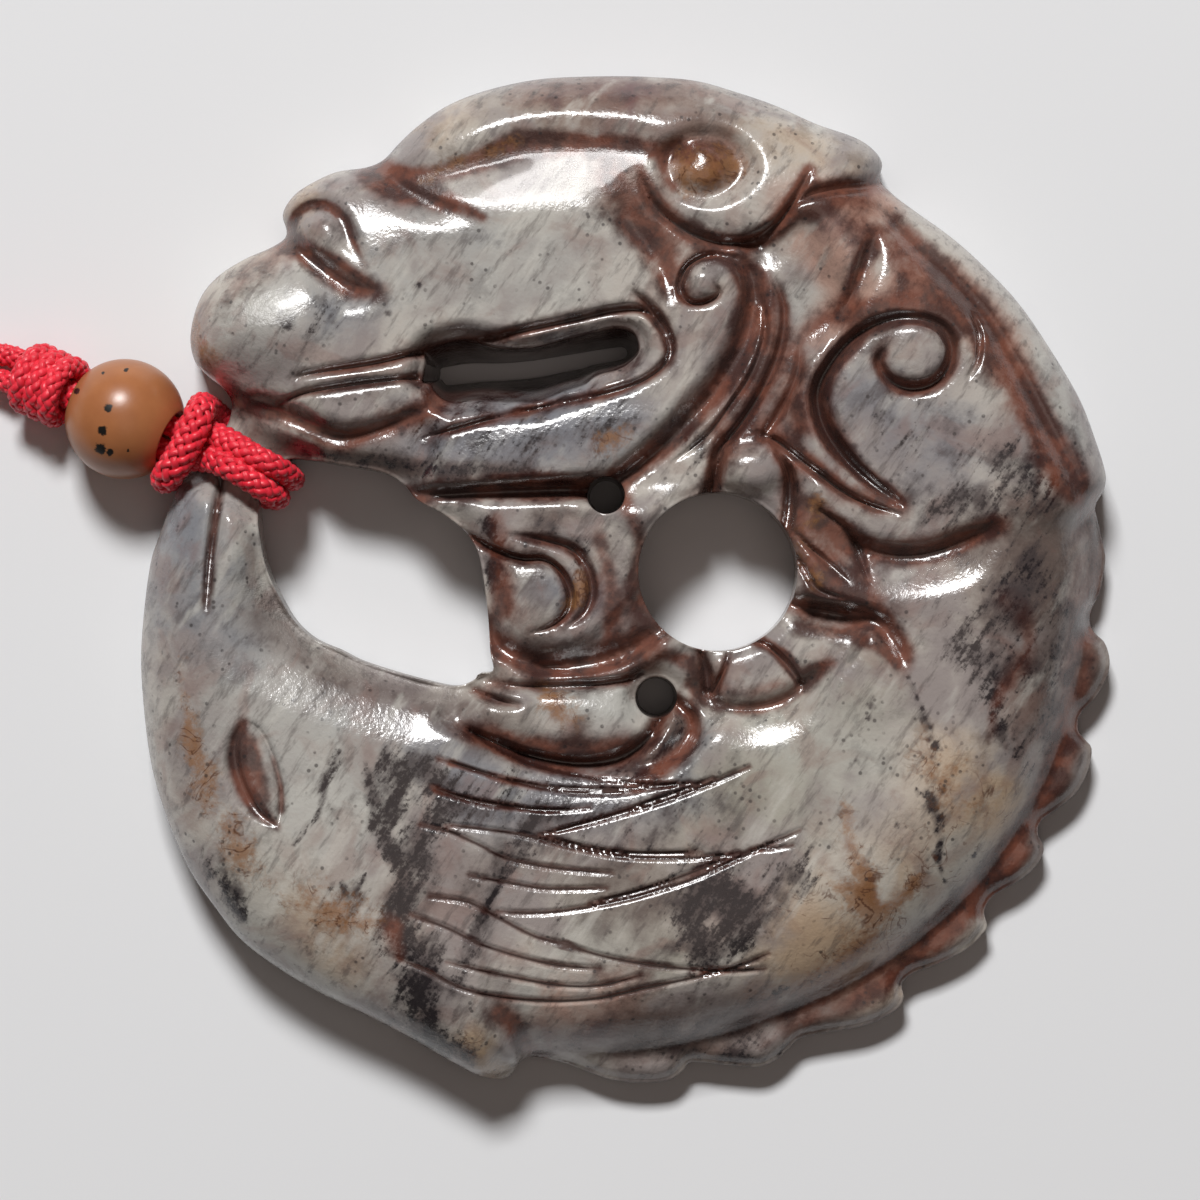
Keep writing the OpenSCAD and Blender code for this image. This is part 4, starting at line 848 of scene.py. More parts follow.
def in_stone(points, margin):
    """Points that lie in the stone, further than the margin from every rim."""
    keep = inside(points, outer_rim)
    for rim in hole_rims:
        keep &= ~inside(points, rim)
    points = points[keep]
    for rim in rims:
        points = points[off_line(points, rim, True) > margin]
    return points


def cells(points, size):
    """A whole number for the square cell that each point is in; columns of cells are counted in 100,000s."""
    place = np.floor((points + 40) / size).astype(np.int64)
    return place[:, 0] * 100_000 + place[:, 1]


# Rows of the face's mesh: millimetres in from a rim, and shares of a stroke's reach to either side.
RIM_ROWS = (0.1, 0.22, 0.38, 0.58)
CUT_ROWS, HAIR_ROWS, FIN_ROWS = (0.35, 0.7, 1.0), (1.0, 2.0), (0.35, 0.7, 1.0, 1.5, 2.2)
CUT_GAP, HAIR_GAP, FIELD_GAP = 0.14, 0.12, 0.2
# Points are thinned out to one in such a cell, and the field stays so far from the rims.
LINE_CELL, FIELD_CELL, FIELD_SHIFT = 0.085, 0.14, 0.1
LINE_MARGIN, FIELD_MARGIN = 0.07, 0.65


def face_points():
    """Points all over the face: rows that follow the rims and the cuts, and an even field between them."""
    lines = [rim + inward(rim, i > 0) * away for i, rim in enumerate(rims) for away in RIM_ROWS]
    strokes = [(flowing(with_reach(rows, [2, 3]), 5), CUT_GAP, CUT_ROWS) for _, _, rows in CUTS.values()]
    for rows in HAIR:
        rows = np.hstack([to_mm(rows), np.full((len(rows), 2), HAIR_REACH)])
        strokes.append((flowing(rows, 4), HAIR_GAP, HAIR_ROWS))
    foot = flowing(to_mm(OUTLINE[FIRST_FIN - 2:FIRST_FIN] + FIN_FOOT + OUTLINE[LAST_FIN + 1:LAST_FIN + 3]), 6)
    strokes.append((np.hstack([foot, np.full((len(foot), 2), FIN_STEP)]), CUT_GAP, FIN_ROWS))
    strokes = [(evenly(stroke, gap), shares) for stroke, gap, shares in strokes]
    lines += [stroke[:, :2] for stroke, _ in strokes]
    for stroke, shares in strokes:
        lines += beside(stroke, shares)
    lines = in_stone(np.vstack(lines), LINE_MARGIN)
    _, first = np.unique(cells(lines, LINE_CELL), return_index=True)
    lines = lines[np.sort(first)]
    field = in_stone(staggered(FIELD_GAP), FIELD_MARGIN)
    shifts = np.array([(0, 0), (1, 0), (-1, 0), (0, 1), (0, -1)]) * FIELD_SHIFT
    taken = {cell for shift in shifts for cell in cells(lines + shift, FIELD_CELL)}
    free = np.fromiter((cell not in taken for cell in cells(field, FIELD_CELL)), bool, len(field))
    return np.vstack([lines, field[free]])


def triangles_between(points, loops):
    """Triangles over the points inside the outer loop and out of the others; the loops' points come first."""
    edges, start = [], 0
    for size in map(len, loops):
        edges += [(start + i, start + (i + 1) % size) for i in range(size)]
        start += size
    made = delaunay_2d_cdt([Vector(p) for p in points], edges, [], 0, 1e-7)
    assert len(made[0]) == len(points), "points of the face coincide"
    faces = np.array([f for f in made[2]])
    middles = points[faces].mean(1)
    keep = np.ones(len(faces), bool)
    asked = np.flatnonzero((faces < start).all(1))
    keep[asked] = inside(middles[asked], loops[0])
    for loop in loops[1:]:
        keep[asked] &= ~inside(middles[asked], loop)
    return faces[keep]


# The carved face keeps at least this much stone, in millimetres; the back's edge is rounded over.
THINNEST = 0.9
BACK_ROUND, BACK_TURNS = 0.35, (22, 45, 67, 90)
BACK_GAP, BACK_MARGIN = 1.1, 0.9
WALL_STEPS = 7
# How dark the walls are painted, dirt and painted shade together, darkest in the mouth and the drilled holes: the
# outside, the big hole, the mouth, the round hole, the drilled two.
WALL_DIRT_AND_SHADE = (0.15, 0.2, 1, 0.35, 1, 1)
# The drilled holes narrow towards the back by so many millimetres, and the mouth by this share of the way
# to its middle line. The rims are numbered from the outside one, 0.
DRILL_LEAN, MOUTH_LEAN = 0.15, 0.7
MOUTH_LINE = to_mm([(445, 374), (622, 352)])
MOUTH_RIM, ROUND_RIM = 2, 3


def lean_of(number, rim, step):
    """How far each point of a rim moves over the hole on its way down to the back."""
    if number == MOUTH_RIM:
        run = MOUTH_LINE[1] - MOUTH_LINE[0]
        share = np.clip((rim - MOUTH_LINE[0]) @ run / (run @ run), 0, 1)
        return MOUTH_LEAN * (MOUTH_LINE[0] + share[:, None] * run - rim)
    return step * (-DRILL_LEAN if number > ROUND_RIM else 0)


def jade_mesh():
    """Points, triangles and painted darkening of the whole stone, dirt with painted shade: the carved face, the walls
    and the flat back.
    """
    flat = np.vstack([*rims, face_points()])
    grooves, hair = wheel_cuts(flat, wide=False), hair_lines(flat)
    height = np.maximum(polished_face(flat) - grooves - hair, THINNEST)
    points = [np.column_stack([flat, height])]
    triangles = [triangles_between(flat, rims)]
    # The face darkens with the depth of its cuts and hair lines: dirt, and painted shade.
    dirt = [grooves + HAIR_DIRT_AND_SHADE * hair]
    start, made = 0, len(flat)
    back_rows, back_loops = [], []
    for i, rim in enumerate(rims):
        size = len(rim)
        step = inward(rim, i > 0)
        lean = lean_of(i, rim, step)
        top = height[start:start + size]
        rows = [np.arange(start, start + size)]
        start += size
        levels = [(lean * share, top + (BACK_ROUND - top) * share) for share in np.linspace(0, 1, WALL_STEPS)[1:]]
        for turn in np.radians(BACK_TURNS):
            level = np.full(size, BACK_ROUND * (1 - math.sin(turn)))
            levels.append((lean + step * BACK_ROUND * (1 - math.cos(turn)), level))
        for away, z in levels:
            points.append(np.column_stack([rim + away, z]))
            rows.append(np.arange(made, made + size))
            dirt.append(np.full(size, WALL_DIRT_AND_SHADE[i]))
            made += size
        for a, d in zip(rows, rows[1:]):
            b, c = np.roll(a, -1), np.roll(d, -1)
            if (area_of(rim) > 0) == (i == 0):
                triangles += [np.column_stack([a, d, c]), np.column_stack([a, c, b])]
            else:
                triangles += [np.column_stack([a, c, d]), np.column_stack([a, b, c])]
        back_rows.append(rows[-1])
        back_loops.append(rim + lean + step * BACK_ROUND)
    inner = in_stone(staggered(BACK_GAP), BACK_MARGIN)
    back = triangles_between(np.vstack([*back_loops, inner]), back_loops)
    numbers = np.concatenate([*back_rows, np.arange(made, made + len(inner))])
    points.append(np.column_stack([inner, np.zeros(len(inner))]))
    triangles.append(numbers[back][:, ::-1])
    dirt.append(np.zeros(len(inner)))
    return np.vstack(points), np.vstack(triangles), np.concatenate(dirt)


stone_points, stone_faces, stone_dirt_and_shade = jade_mesh()
stone_mesh = bpy.data.meshes.new("jade_dragon")
stone_mesh.from_pydata((stone_points * MM).tolist(), [], stone_faces.tolist())
stone_mesh.shade_smooth()
jade = in_scene("jade_dragon", stone_mesh)
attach(jade, "root")
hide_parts("jade_carving")

# The stone is a pale grey jade: russet skin and dirt in the cuts and along the back, black veins across the
# flank, cooler grey on jaw and tail, cream and ochre patches low on the right. Shade is painted into the deep
# cuts, the walls and the mouth, and light onto the toe and the stone's lower edge.
# Each wash of a stain is rows of x, y, reach and strength, on the carving's grid.
WASHES = {
    "russet": [
        [(425, 182, 10, 0.5), (470, 166, 12, 0.7), (515, 150, 14, 0.9), (560, 148, 12, 1), (600, 150, 10, 1),
         (660, 156, 8, 0.9)],
        [(520, 143, 9, 1), (545, 150, 7, 0.9)],
        [(372, 175, 16, 0.9), (394, 190, 18, 0.9), (424, 204, 12, 0.9), (450, 212, 6, 0.5)],
        # Brown dirt and painted shade in the mouth.
        [(440, 388, 24, 0.6), (500, 376, 26, 0.7), (560, 362, 26, 0.7), (620, 350, 24, 0.7)],
        [(400, 178, 8, 0.9), (430, 190, 8, 0.9), (462, 207, 7, 0.9), (485, 222, 4, 0.6)],
        [(284, 245, 10, 0.6), (300, 250, 8, 0.9), (330, 262, 9, 1), (352, 278, 9, 1), (372, 290, 6, 0.8)],
        [(290, 232, 5, 0.8), (300, 215, 5, 0.8), (318, 209, 5, 0.9), (338, 215, 5, 0.8), (350, 232, 4, 0.6)],
        [(286, 252, 14, 0.7), (262, 268, 14, 0.55), (242, 284, 14, 0.5), (230, 300, 12, 0.35)],
        [(612, 182, 18, 0.9), (640, 215, 28, 0.9), (664, 255, 24, 0.95), (672, 290, 12, 0.9)],
        [(704, 168, 38, 0.85), (676, 150, 10, 0.9), (662, 168, 8, 0.9), (672, 190, 8, 0.8)],
        [(794, 372, 26, 0.3), (770, 420, 36, 0.5), (740, 450, 30, 0.5)],
        [(850, 226, 26, 0.5), (882, 246, 18, 0.7), (905, 285, 28, 0.4)],
        [(500, 484, 10, 0.7), (560, 486, 14, 0.9), (615, 492, 14, 0.9), (640, 545, 8, 0.7), (634, 590, 12, 0.7),
         (650, 645, 16, 0.8)],
        [(800, 520, 30, 0.7), (830, 575, 34, 0.8), (860, 610, 26, 0.8)],
        [(490, 728, 10, 0.5), (560, 746, 10, 0.7), (625, 740, 10, 0.6)],
        [(640, 172, 6, 1), (652, 205, 8, 1), (675, 228, 9, 1), (700, 243, 9, 1), (730, 248, 9, 1), (758, 243, 9, 1),
         (780, 224, 9, 1), (798, 198, 10, 1), (807, 175, 8, 0.9)],
        [(812, 197, 9, 0.8), (840, 196, 11, 0.9), (865, 190, 11, 0.9), (884, 184, 8, 0.9)],
        [(805, 215, 10, 0.8), (835, 208, 8, 0.6), (870, 206, 8, 0.5)],
        [(726, 262, 8, 0.8), (742, 285, 9, 0.9), (744, 310, 10, 1), (736, 345, 10, 1), (722, 380, 11, 1),
         (700, 410, 11, 1), (675, 436, 11, 1), (650, 455, 11, 1), (620, 478, 10, 1)],
        [(755, 275, 10, 0.7), (765, 300, 12, 0.9), (765, 330, 10, 0.7), (755, 360, 10, 0.6), (745, 390, 10, 0.6)],
        [(863, 252, 6, 0.9), (852, 280, 7, 1), (842, 308, 8, 1)],
        [(790, 345, 14, 0.5), (810, 330, 16, 0.7), (835, 318, 16, 0.9), (870, 310, 12, 0.9), (905, 305, 12, 0.8),
         (940, 310, 12, 0.6), (965, 330, 12, 0.6)],
        [(795, 365, 12, 0.7), (790, 395, 12, 0.7), (800, 430, 12, 0.8)],
        [(850, 345, 12, 0.9), (826, 370, 12, 1), (815, 395, 12, 1), (822, 428, 11, 1), (845, 460, 10, 1),
         (872, 486, 9, 1), (898, 504, 5, 0.8)],
        [(893, 230, 10, 0.6), (930, 262, 14, 0.7), (965, 300, 16, 0.75), (985, 335, 20, 0.8), (1002, 370, 22, 0.9),
         (1020, 405, 20, 0.9), (1040, 440, 20, 0.95), (1060, 475, 22, 1), (1082, 500, 16, 1)],
        [(900, 255, 20, 0.45), (930, 290, 20, 0.4), (965, 330, 20, 0.35), (990, 370, 16, 0.4)],
        [(812, 512, 6, 0.6), (830, 528, 9, 0.8), (850, 545, 9, 0.9), (888, 552, 10, 1), (930, 550, 11, 1),
         (965, 538, 11, 1), (992, 525, 8, 0.8)],
        [(800, 520, 12, 0.6), (815, 560, 14, 0.6), (835, 590, 16, 0.7), (860, 606, 10, 0.9), (885, 625, 12, 0.9),
         (900, 650, 10, 0.8)],
        [(790, 450, 8, 0.9), (815, 470, 9, 0.9), (845, 490, 7, 0.8), (880, 505, 5, 0.6)],
        [(800, 628, 10, 0.8), (840, 634, 8, 0.8), (870, 645, 7, 0.8), (895, 662, 5, 0.8)],
        [(758, 640, 6, 0.8), (780, 652, 6, 0.9), (797, 672, 6, 0.9), (812, 668, 8, 0.8), (830, 662, 4, 0.6)],
        [(715, 690, 10, 0.5), (745, 692, 10, 0.6), (780, 684, 8, 0.7)],
        [(625, 680, 6, 0.8), (640, 664, 8, 0.9), (665, 655, 8, 0.9), (690, 665, 10, 0.8), (700, 685, 8, 0.6)],
        [(500, 640, 10, 0.6), (530, 655, 14, 0.8), (575, 662, 14, 0.9), (620, 655, 12, 0.9), (645, 630, 12, 0.8),
         (640, 560, 10, 0.5)],
        [(500, 740, 6, 0.5), (540, 750, 7, 0.8), (590, 755, 7, 0.8), (630, 745, 6, 0.6)],
        [(555, 710, 16, 0.5), (575, 725, 14, 0.5)],
        [(247, 722, 6, 0.7), (243, 745, 10, 0.9), (249, 785, 10, 0.9), (262, 806, 8, 0.8), (280, 824, 5, 0.6)],
        [(276, 755, 4, 0.4), (284, 785, 5, 0.6), (285, 808, 5, 0.7)],
        [(254, 740, 9, 0.7), (261, 768, 11, 0.8), (269, 795, 9, 0.8)],
        [(1098, 520, 10, 0.5), (1098, 580, 10, 0.5), (1090, 650, 10, 0.5), (1085, 700, 10, 0.5), (1074, 745, 11, 0.6),
         (1060, 785, 11, 0.6), (1040, 825, 11, 0.6)],
        [(1022, 856, 13, 0.7), (990, 895, 13, 0.8), (960, 925, 13, 0.8), (930, 952, 13, 0.8), (900, 975, 12, 0.8),
         (875, 992, 12, 0.7), (846, 1005, 12, 0.6), (810, 1022, 11, 0.5), (760, 1048, 10, 0.3)],
        [(1082, 560, 12, 0.5), (1076, 640, 13, 0.6), (1066, 710, 13, 0.8), (1052, 765, 12, 0.9), (1032, 812, 11, 0.9),
         (1002, 858, 12, 1), (966, 898, 12, 1), (926, 936, 11, 0.8), (882, 968, 9, 0.6), (834, 996, 9, 0.6),
         (780, 1014, 10, 0.6), (730, 1030, 10, 0.5)],
        [(498, 520, 12, 0.6), (500, 560, 13, 0.7), (506, 610, 16, 0.8)],
        [(600, 540, 10, 0.7), (612, 590, 12, 0.8), (612, 640, 16, 0.8)],
        [(1000, 600, 14, 0.4), (1020, 620, 14, 0.45), (1025, 650, 12, 0.5), (1005, 680, 12, 0.6), (990, 710, 8, 0.6),
         (985, 735, 8, 0.5)],
        [(500, 1010, 14, 0.6), (512, 1020, 14, 0.9), (525, 1045, 10, 0.8), (545, 1060, 6, 0.6)],
        [(845, 965, 6, 0.6), (860, 948, 6, 0.7), (875, 935, 5, 0.6)],
        [(830, 870, 8, 0.4), (860, 890, 8, 0.4), (885, 905, 9, 0.45), (905, 890, 8, 0.45), (925, 875, 6, 0.5)],
        [(846, 840, 6, 0.4), (862, 862, 7, 0.45), (870, 890, 6, 0.4)],
        [(395, 925, 14, 0.8), (398, 945, 12, 0.6)],
        [(640, 1010, 30, 0.25), (690, 1030, 30, 0.3)],
        [(270, 272, 20, 0.35), (245, 286, 18, 0.3)],
    ],
    "ochre": [
        [(196, 305, 6, 0.5), (196, 330, 9, 0.7), (202, 350, 12, 0.9), (218, 358, 10, 0.7)],
        [(425, 180, 8, 0.5), (470, 162, 8, 0.6), (515, 147, 8, 0.6)],
        [(184, 650, 8, 0.4), (190, 700, 9, 0.6), (195, 740, 12, 0.6), (205, 775, 18, 0.7), (222, 805, 20, 0.7),
         (240, 840, 18, 0.6), (265, 875, 14, 0.5), (300, 900, 12, 0.4)],
        [(322, 900, 20, 0.7), (345, 912, 24, 0.8), (372, 915, 16, 0.6)],
        [(880, 880, 26, 0.4), (850, 915, 28, 0.45), (860, 950, 22, 0.45), (900, 940, 20, 0.35)],
        [(930, 760, 30, 0.45), (960, 800, 24, 0.45)],
        [(842, 800, 10, 0.6), (852, 850, 12, 0.7), (870, 905, 12, 0.7), (862, 940, 12, 0.7), (800, 985, 12, 0.5)],
        [(820, 870, 10, 0.6), (850, 892, 10, 0.7), (885, 905, 12, 0.8), (915, 880, 10, 0.6)],
        [(580, 575, 8, 0.7), (580, 595, 8, 0.8), (566, 610, 6, 0.6)],
        [(548, 700, 16, 0.8), (565, 715, 14, 0.8)],
        [(600, 448, 14, 0.5), (625, 440, 12, 0.5)],
        [(818, 505, 10, 0.5), (800, 540, 12, 0.5), (812, 575, 12, 0.5)],
        [(690, 178, 24, 0.9), (712, 176, 24, 0.9), (730, 168, 14, 0.7)],
    ],
    "ink": [
        [(385, 760, 12, 0.5), (400, 770, 22, 0.8), (395, 800, 18, 0.6), (385, 830, 12, 0.8), (395, 850, 12, 0.9),
         (405, 880, 16, 0.9), (400, 920, 22, 0.9), (420, 950, 26, 0.9), (420, 990, 26, 0.9), (430, 1030, 22, 0.9),
         (470, 1055, 12, 0.7)],
        [(420, 830, 10, 0.5), (425, 850, 14, 0.8), (430, 880, 12, 0.6)],
        [(342, 752, 5, 0.8), (330, 775, 5, 0.8), (325, 800, 4, 0.7), (315, 822, 3, 0.7), (298, 842, 2, 0.6)],
        [(367, 760, 3, 0.6), (372, 780, 4, 0.6), (376, 800, 6, 0.8), (374, 825, 5, 0.7)],
        [(345, 880, 4, 0.9), (350, 893, 3, 0.8)],
        [(368, 872, 4, 0.8), (358, 890, 4, 0.9)],
        [(540, 812, 8, 0.7), (528, 835, 14, 0.8), (515, 855, 10, 0.6), (500, 880, 8, 0.6), (488, 905, 10, 0.6),
         (470, 950, 9, 0.5), (455, 990, 8, 0.5)],
        [(560, 900, 5, 0.4), (556, 935, 5, 0.4)],
        [(550, 815, 10, 0.6), (565, 808, 8, 0.5)],
        [(690, 888, 14, 0.7), (715, 890, 24, 0.9), (735, 910, 26, 1), (735, 935, 22, 0.9)],
        [(690, 915, 24, 0.8), (700, 940, 26, 1), (705, 962, 18, 0.8)],
        [(655, 855, 30, 0.3), (700, 868, 30, 0.35), (790, 862, 26, 0.35), (770, 900, 24, 0.35)],
        [(430, 765, 18, 0.7), (445, 790, 22, 0.8), (440, 815, 16, 0.7)],
        # Painted shade in the mouth: its walls and lips darkened along its middle line.
        [(446, 382, 20, 1), (500, 374, 22, 1), (560, 362, 20, 1), (615, 352, 18, 1)],
        [(640, 765, 12, 0.5), (672, 742, 16, 0.6), (684, 716, 12, 0.6)],
        [(560, 500, 20, 0.35), (540, 525, 20, 0.35)],
        [(335, 895, 16, 0.4), (355, 905, 16, 0.45)],
        [(490, 525, 9, 0.8), (497, 555, 11, 0.9), (494, 590, 9, 0.7)],
        [(700, 455, 14, 0.7), (690, 440, 12, 0.6)],
        [(300, 449, 8, 0.5), (360, 460, 8, 0.6), (430, 470, 8, 0.7), (500, 474, 8, 0.7), (560, 476, 8, 0.6)],
        [(735, 1045, 34, 0.45), (700, 1030, 20, 0.35), (770, 1050, 20, 0.5), (650, 1050, 16, 0.35)],
        [(906, 678, 4, 0.3), (915, 700, 5, 0.4), (925, 725, 5, 0.4), (932, 745, 6, 0.5), (930, 770, 3, 0.2),
         (925, 795, 10, 0.45), (935, 815, 6, 0.5), (937, 857, 4, 0.45), (942, 879, 4, 0.4)],
        [(960, 600, 40, 0.3), (1010, 640, 50, 0.4), (1040, 690, 40, 0.35), (1050, 740, 24, 0.3)],
        [(960, 650, 22, 0.6), (985, 680, 20, 0.6), (1000, 735, 8, 0.6)],
        [(1000, 600, 20, 0.5), (1030, 560, 30, 0.5)],
        [(1060, 600, 26, 0.4), (1060, 650, 24, 0.35), (1050, 700, 20, 0.3)],
        [(1015, 750, 12, 0.5), (1030, 770, 10, 0.5)],
        [(930, 450, 50, 0.3), (900, 420, 40, 0.3)],
        [(1000, 460, 30, 0.5), (1030, 490, 30, 0.6), (930, 510, 20, 0.5)],
        [(235, 895, 16, 0.8), (245, 915, 8, 0.6)],
        [(215, 860, 14, 0.4), (225, 880, 12, 0.5)],
        [(795, 865, 16, 0.4), (800, 870, 12, 0.4)],
        [(785, 985, 8, 0.7), (775, 990, 6, 0.9)],
        [(890, 980, 10, 0.8), (900, 980, 8, 0.7)],
        [(580, 545, 10, 0.6), (580, 560, 8, 0.7)],
        [(330, 322, 26, 0.3), (300, 330, 20, 0.3)],
        [(480, 425, 40, 0.5), (430, 440, 30, 0.4), (560, 440, 40, 0.45), (620, 420, 30, 0.35)],
        [(380, 805, 34, 0.3), (450, 800, 40, 0.36), (550, 806, 40, 0.38), (650, 800, 36, 0.36), (710, 798, 24, 0.3)],
    ],
    "cool": [
        [(330, 315, 40, 0.6), (360, 320, 30, 0.4)],
        [(440, 440, 50, 0.7), (500, 440, 60, 0.8), (560, 425, 60, 0.9), (620, 410, 40, 0.7)],
        [(860, 400, 50, 0.6), (930, 450, 60, 0.6)],
        [(600, 600, 30, 0.6), (530, 590, 24, 0.6)],
        [(190, 530, 50, 0.7), (200, 600, 60, 0.6), (240, 640, 50, 0.6)],
        [(1070, 470, 30, 0.6), (1060, 440, 20, 0.4)],
        [(560, 800, 60, 0.4), (600, 810, 60, 0.3)],
        [(400, 240, 50, 0.35), (460, 250, 50, 0.35)],
        [(320, 705, 30, 0.3), (390, 715, 40, 0.5), (450, 745, 40, 0.7), (470, 800, 44, 0.7)],
        [(520, 800, 40, 0.5), (620, 800, 40, 0.5), (700, 800, 26, 0.4)],
        [(700, 740, 24, 0.5), (680, 760, 20, 0.4)],
    ],
    "pale_and_painted_light": [
        [(820, 750, 90, 0.5), (840, 780, 90, 0.4)],
        [(600, 940, 60, 0.5), (620, 920, 50, 0.4)],
        [(300, 780, 60, 0.3), (320, 800, 50, 0.3)],
        [(258, 750, 8, 0.9), (264, 775, 8, 0.9), (272, 798, 5, 0.8)],
        [(520, 115, 50, 0.5), (470, 140, 20, 0.4)],
        [(250, 310, 70, 0.85), (300, 300, 50, 0.6)],
        [(440, 260, 70, 0.8), (540, 270, 70, 0.7)],
        [(250, 690, 70, 0.8), (330, 730, 70, 0.7), (200, 560, 50, 0.7)],
        [(330, 860, 60, 0.7), (340, 800, 60, 0.7), (260, 900, 40, 0.6)],
        [(1040, 370, 24, 0.7), (1080, 440, 18, 0.7), (990, 300, 18, 0.5)],
        # A painted highlight on the toe.
        [(560, 700, 24, 1), (590, 703, 28, 1), (625, 700, 20, 1)],
        # This wash and the next paint light along the lower edge, where the stone turns away from the window.
        [(540, 995, 30, 0.8), (620, 1000, 30, 0.8)],
        [(250, 930, 26, 1), (285, 968, 28, 1), (330, 1000, 22, 0.9)],
        [(800, 300, 22, 0.8), (806, 330, 18, 0.6)],
        # Painted light on the lower right edge, where the stone turns away from the window.
        [(960, 860, 50, 0.7), (900, 920, 46, 0.8), (860, 880, 50, 0.7)],
    ],
    "green": [
        [(780, 780, 80, 0.6), (700, 800, 60, 0.5)],
        [(600, 920, 70, 0.5), (640, 930, 60, 0.4)],
        [(860, 700, 60, 0.4), (880, 680, 40, 0.4)],
    ],
    "cream_and_painted_light": [
        [(880, 900, 80, 1), (830, 940, 70, 1)],
        # Painted light along the lower right edge, where the stone turns away from the window.
        [(905, 935, 30, 1), (865, 965, 26, 1), (1000, 805, 26, 0.9), (970, 840, 26, 0.9)],
        [(960, 800, 60, 0.6), (940, 760, 40, 0.5)],
        [(290, 900, 60, 0.6), (330, 970, 40, 0.4)],
        [(470, 1040, 20, 0.8), (490, 1060, 18, 0.8)],
        [(200, 300, 40, 0.6), (240, 270, 40, 0.6), (300, 200, 36, 0.5)],
        [(740, 128, 36, 0.2), (800, 150, 40, 0.25), (850, 168, 26, 0.25)],
        [(420, 130, 30, 0.4), (600, 100, 30, 0.3)],
    ],
    "rose": [
        [(752, 300, 16, 0.8), (765, 330, 14, 0.8), (775, 360, 14, 0.6)],
        [(830, 262, 26, 0.8), (850, 290, 16, 0.6)],
        [(800, 212, 28, 1), (850, 208, 28, 1), (880, 206, 20, 0.8)],
        [(812, 240, 24, 0.9), (850, 300, 26, 0.9), (815, 335, 22, 0.7)],
        [(900, 290, 24, 0.8), (950, 300, 26, 1), (1000, 350, 22, 0.8), (1030, 420, 20, 0.6), (1060, 480, 18, 0.5)],
        [(690, 158, 26, 0.8), (714, 160, 26, 0.8)],
        [(560, 1000, 36, 0.6), (620, 1005, 36, 0.7)],
        [(760, 1005, 26, 0.6), (850, 985, 24, 0.7), (900, 950, 24, 0.6)],
        [(580, 105, 60, 0.4), (680, 112, 40, 0.4)],
    ],
    "matt": [
        [(430, 190, 16, 0.7), (480, 182, 26, 1), (540, 178, 30, 1), (600, 178, 26, 1), (640, 180, 18, 0.8)],
        [(262, 590, 16, 0.8), (312, 640, 18, 0.9), (390, 672, 18, 0.9), (450, 690, 14, 0.7)],
        [(240, 315, 40, 0.5), (280, 310, 40, 0.5)],
    ],
    "plum": [
        [(826, 232, 22, 0.4), (850, 240, 18, 0.4)],
        [(560, 95, 20, 0.35), (600, 92, 24, 0.35), (640, 95, 20, 0.35)],
        [(630, 92, 6, 0.5), (630, 110, 6, 0.6), (632, 140, 4, 0.4)],
        [(545, 1040, 20, 0.5), (600, 1040, 24, 0.4)],
    ],
    "taupe": [
        [(600, 775, 10, 0.5), (645, 762, 14, 0.8), (672, 742, 18, 0.9), (682, 715, 14, 0.9)],
        [(1098, 530, 14, 0.6), (1098, 600, 14, 0.7), (1086, 690, 15, 0.8), (1062, 780, 16, 0.8), (1022, 856, 16, 0.7),
         (962, 922, 16, 0.6), (875, 992, 15, 0.7), (800, 1030, 15, 0.8)],
        [(470, 735, 8, 0.6), (520, 757, 9, 0.7), (570, 766, 9, 0.7)],
        [(800, 290, 60, 0.25), (780, 270, 40, 0.25), (850, 260, 50, 0.3)],
        [(980, 560, 50, 0.4), (1010, 620, 70, 0.6), (1050, 720, 50, 0.7)],
        [(1020, 850, 16, 0.6), (985, 890, 14, 0.6), (930, 940, 14, 0.5)],
        [(620, 1035, 40, 0.5), (720, 1045, 40, 0.5), (820, 1010, 24, 0.3)],
        [(260, 620, 24, 0.6), (340, 680, 30, 0.6), (440, 710, 30, 0.6), (500, 720, 40, 0.5)],
        [(760, 400, 40, 0.6), (740, 430, 30, 0.6)],
        [(550, 520, 30, 0.6), (520, 580, 24, 0.4), (550, 640, 30, 0.5)],
        [(1050, 780, 20, 0.5), (1005, 850, 18, 0.5), (930, 930, 18, 0.5), (840, 985, 20, 0.5), (740, 1015, 30, 0.6),
         (640, 1030, 34, 0.6)],
        [(1040, 540, 60, 0.7), (1050, 600, 50, 0.6)],
        [(255, 438, 12, 0.8), (300, 452, 14, 0.9), (350, 460, 14, 0.9), (400, 468, 14, 0.9), (450, 470, 12, 0.8),
         (510, 474, 12, 0.8)],
        [(500, 105, 40, 0.35), (580, 105, 60, 0.5), (700, 115, 50, 0.5)],
        [(345, 905, 40, 0.35), (430, 890, 50, 0.4), (530, 855, 44, 0.38), (620, 856, 50, 0.45), (700, 860, 46, 0.32)],
        [(600, 905, 40, 0.36), (655, 912, 40, 0.36), (745, 890, 30, 0.3)],
    ],
}
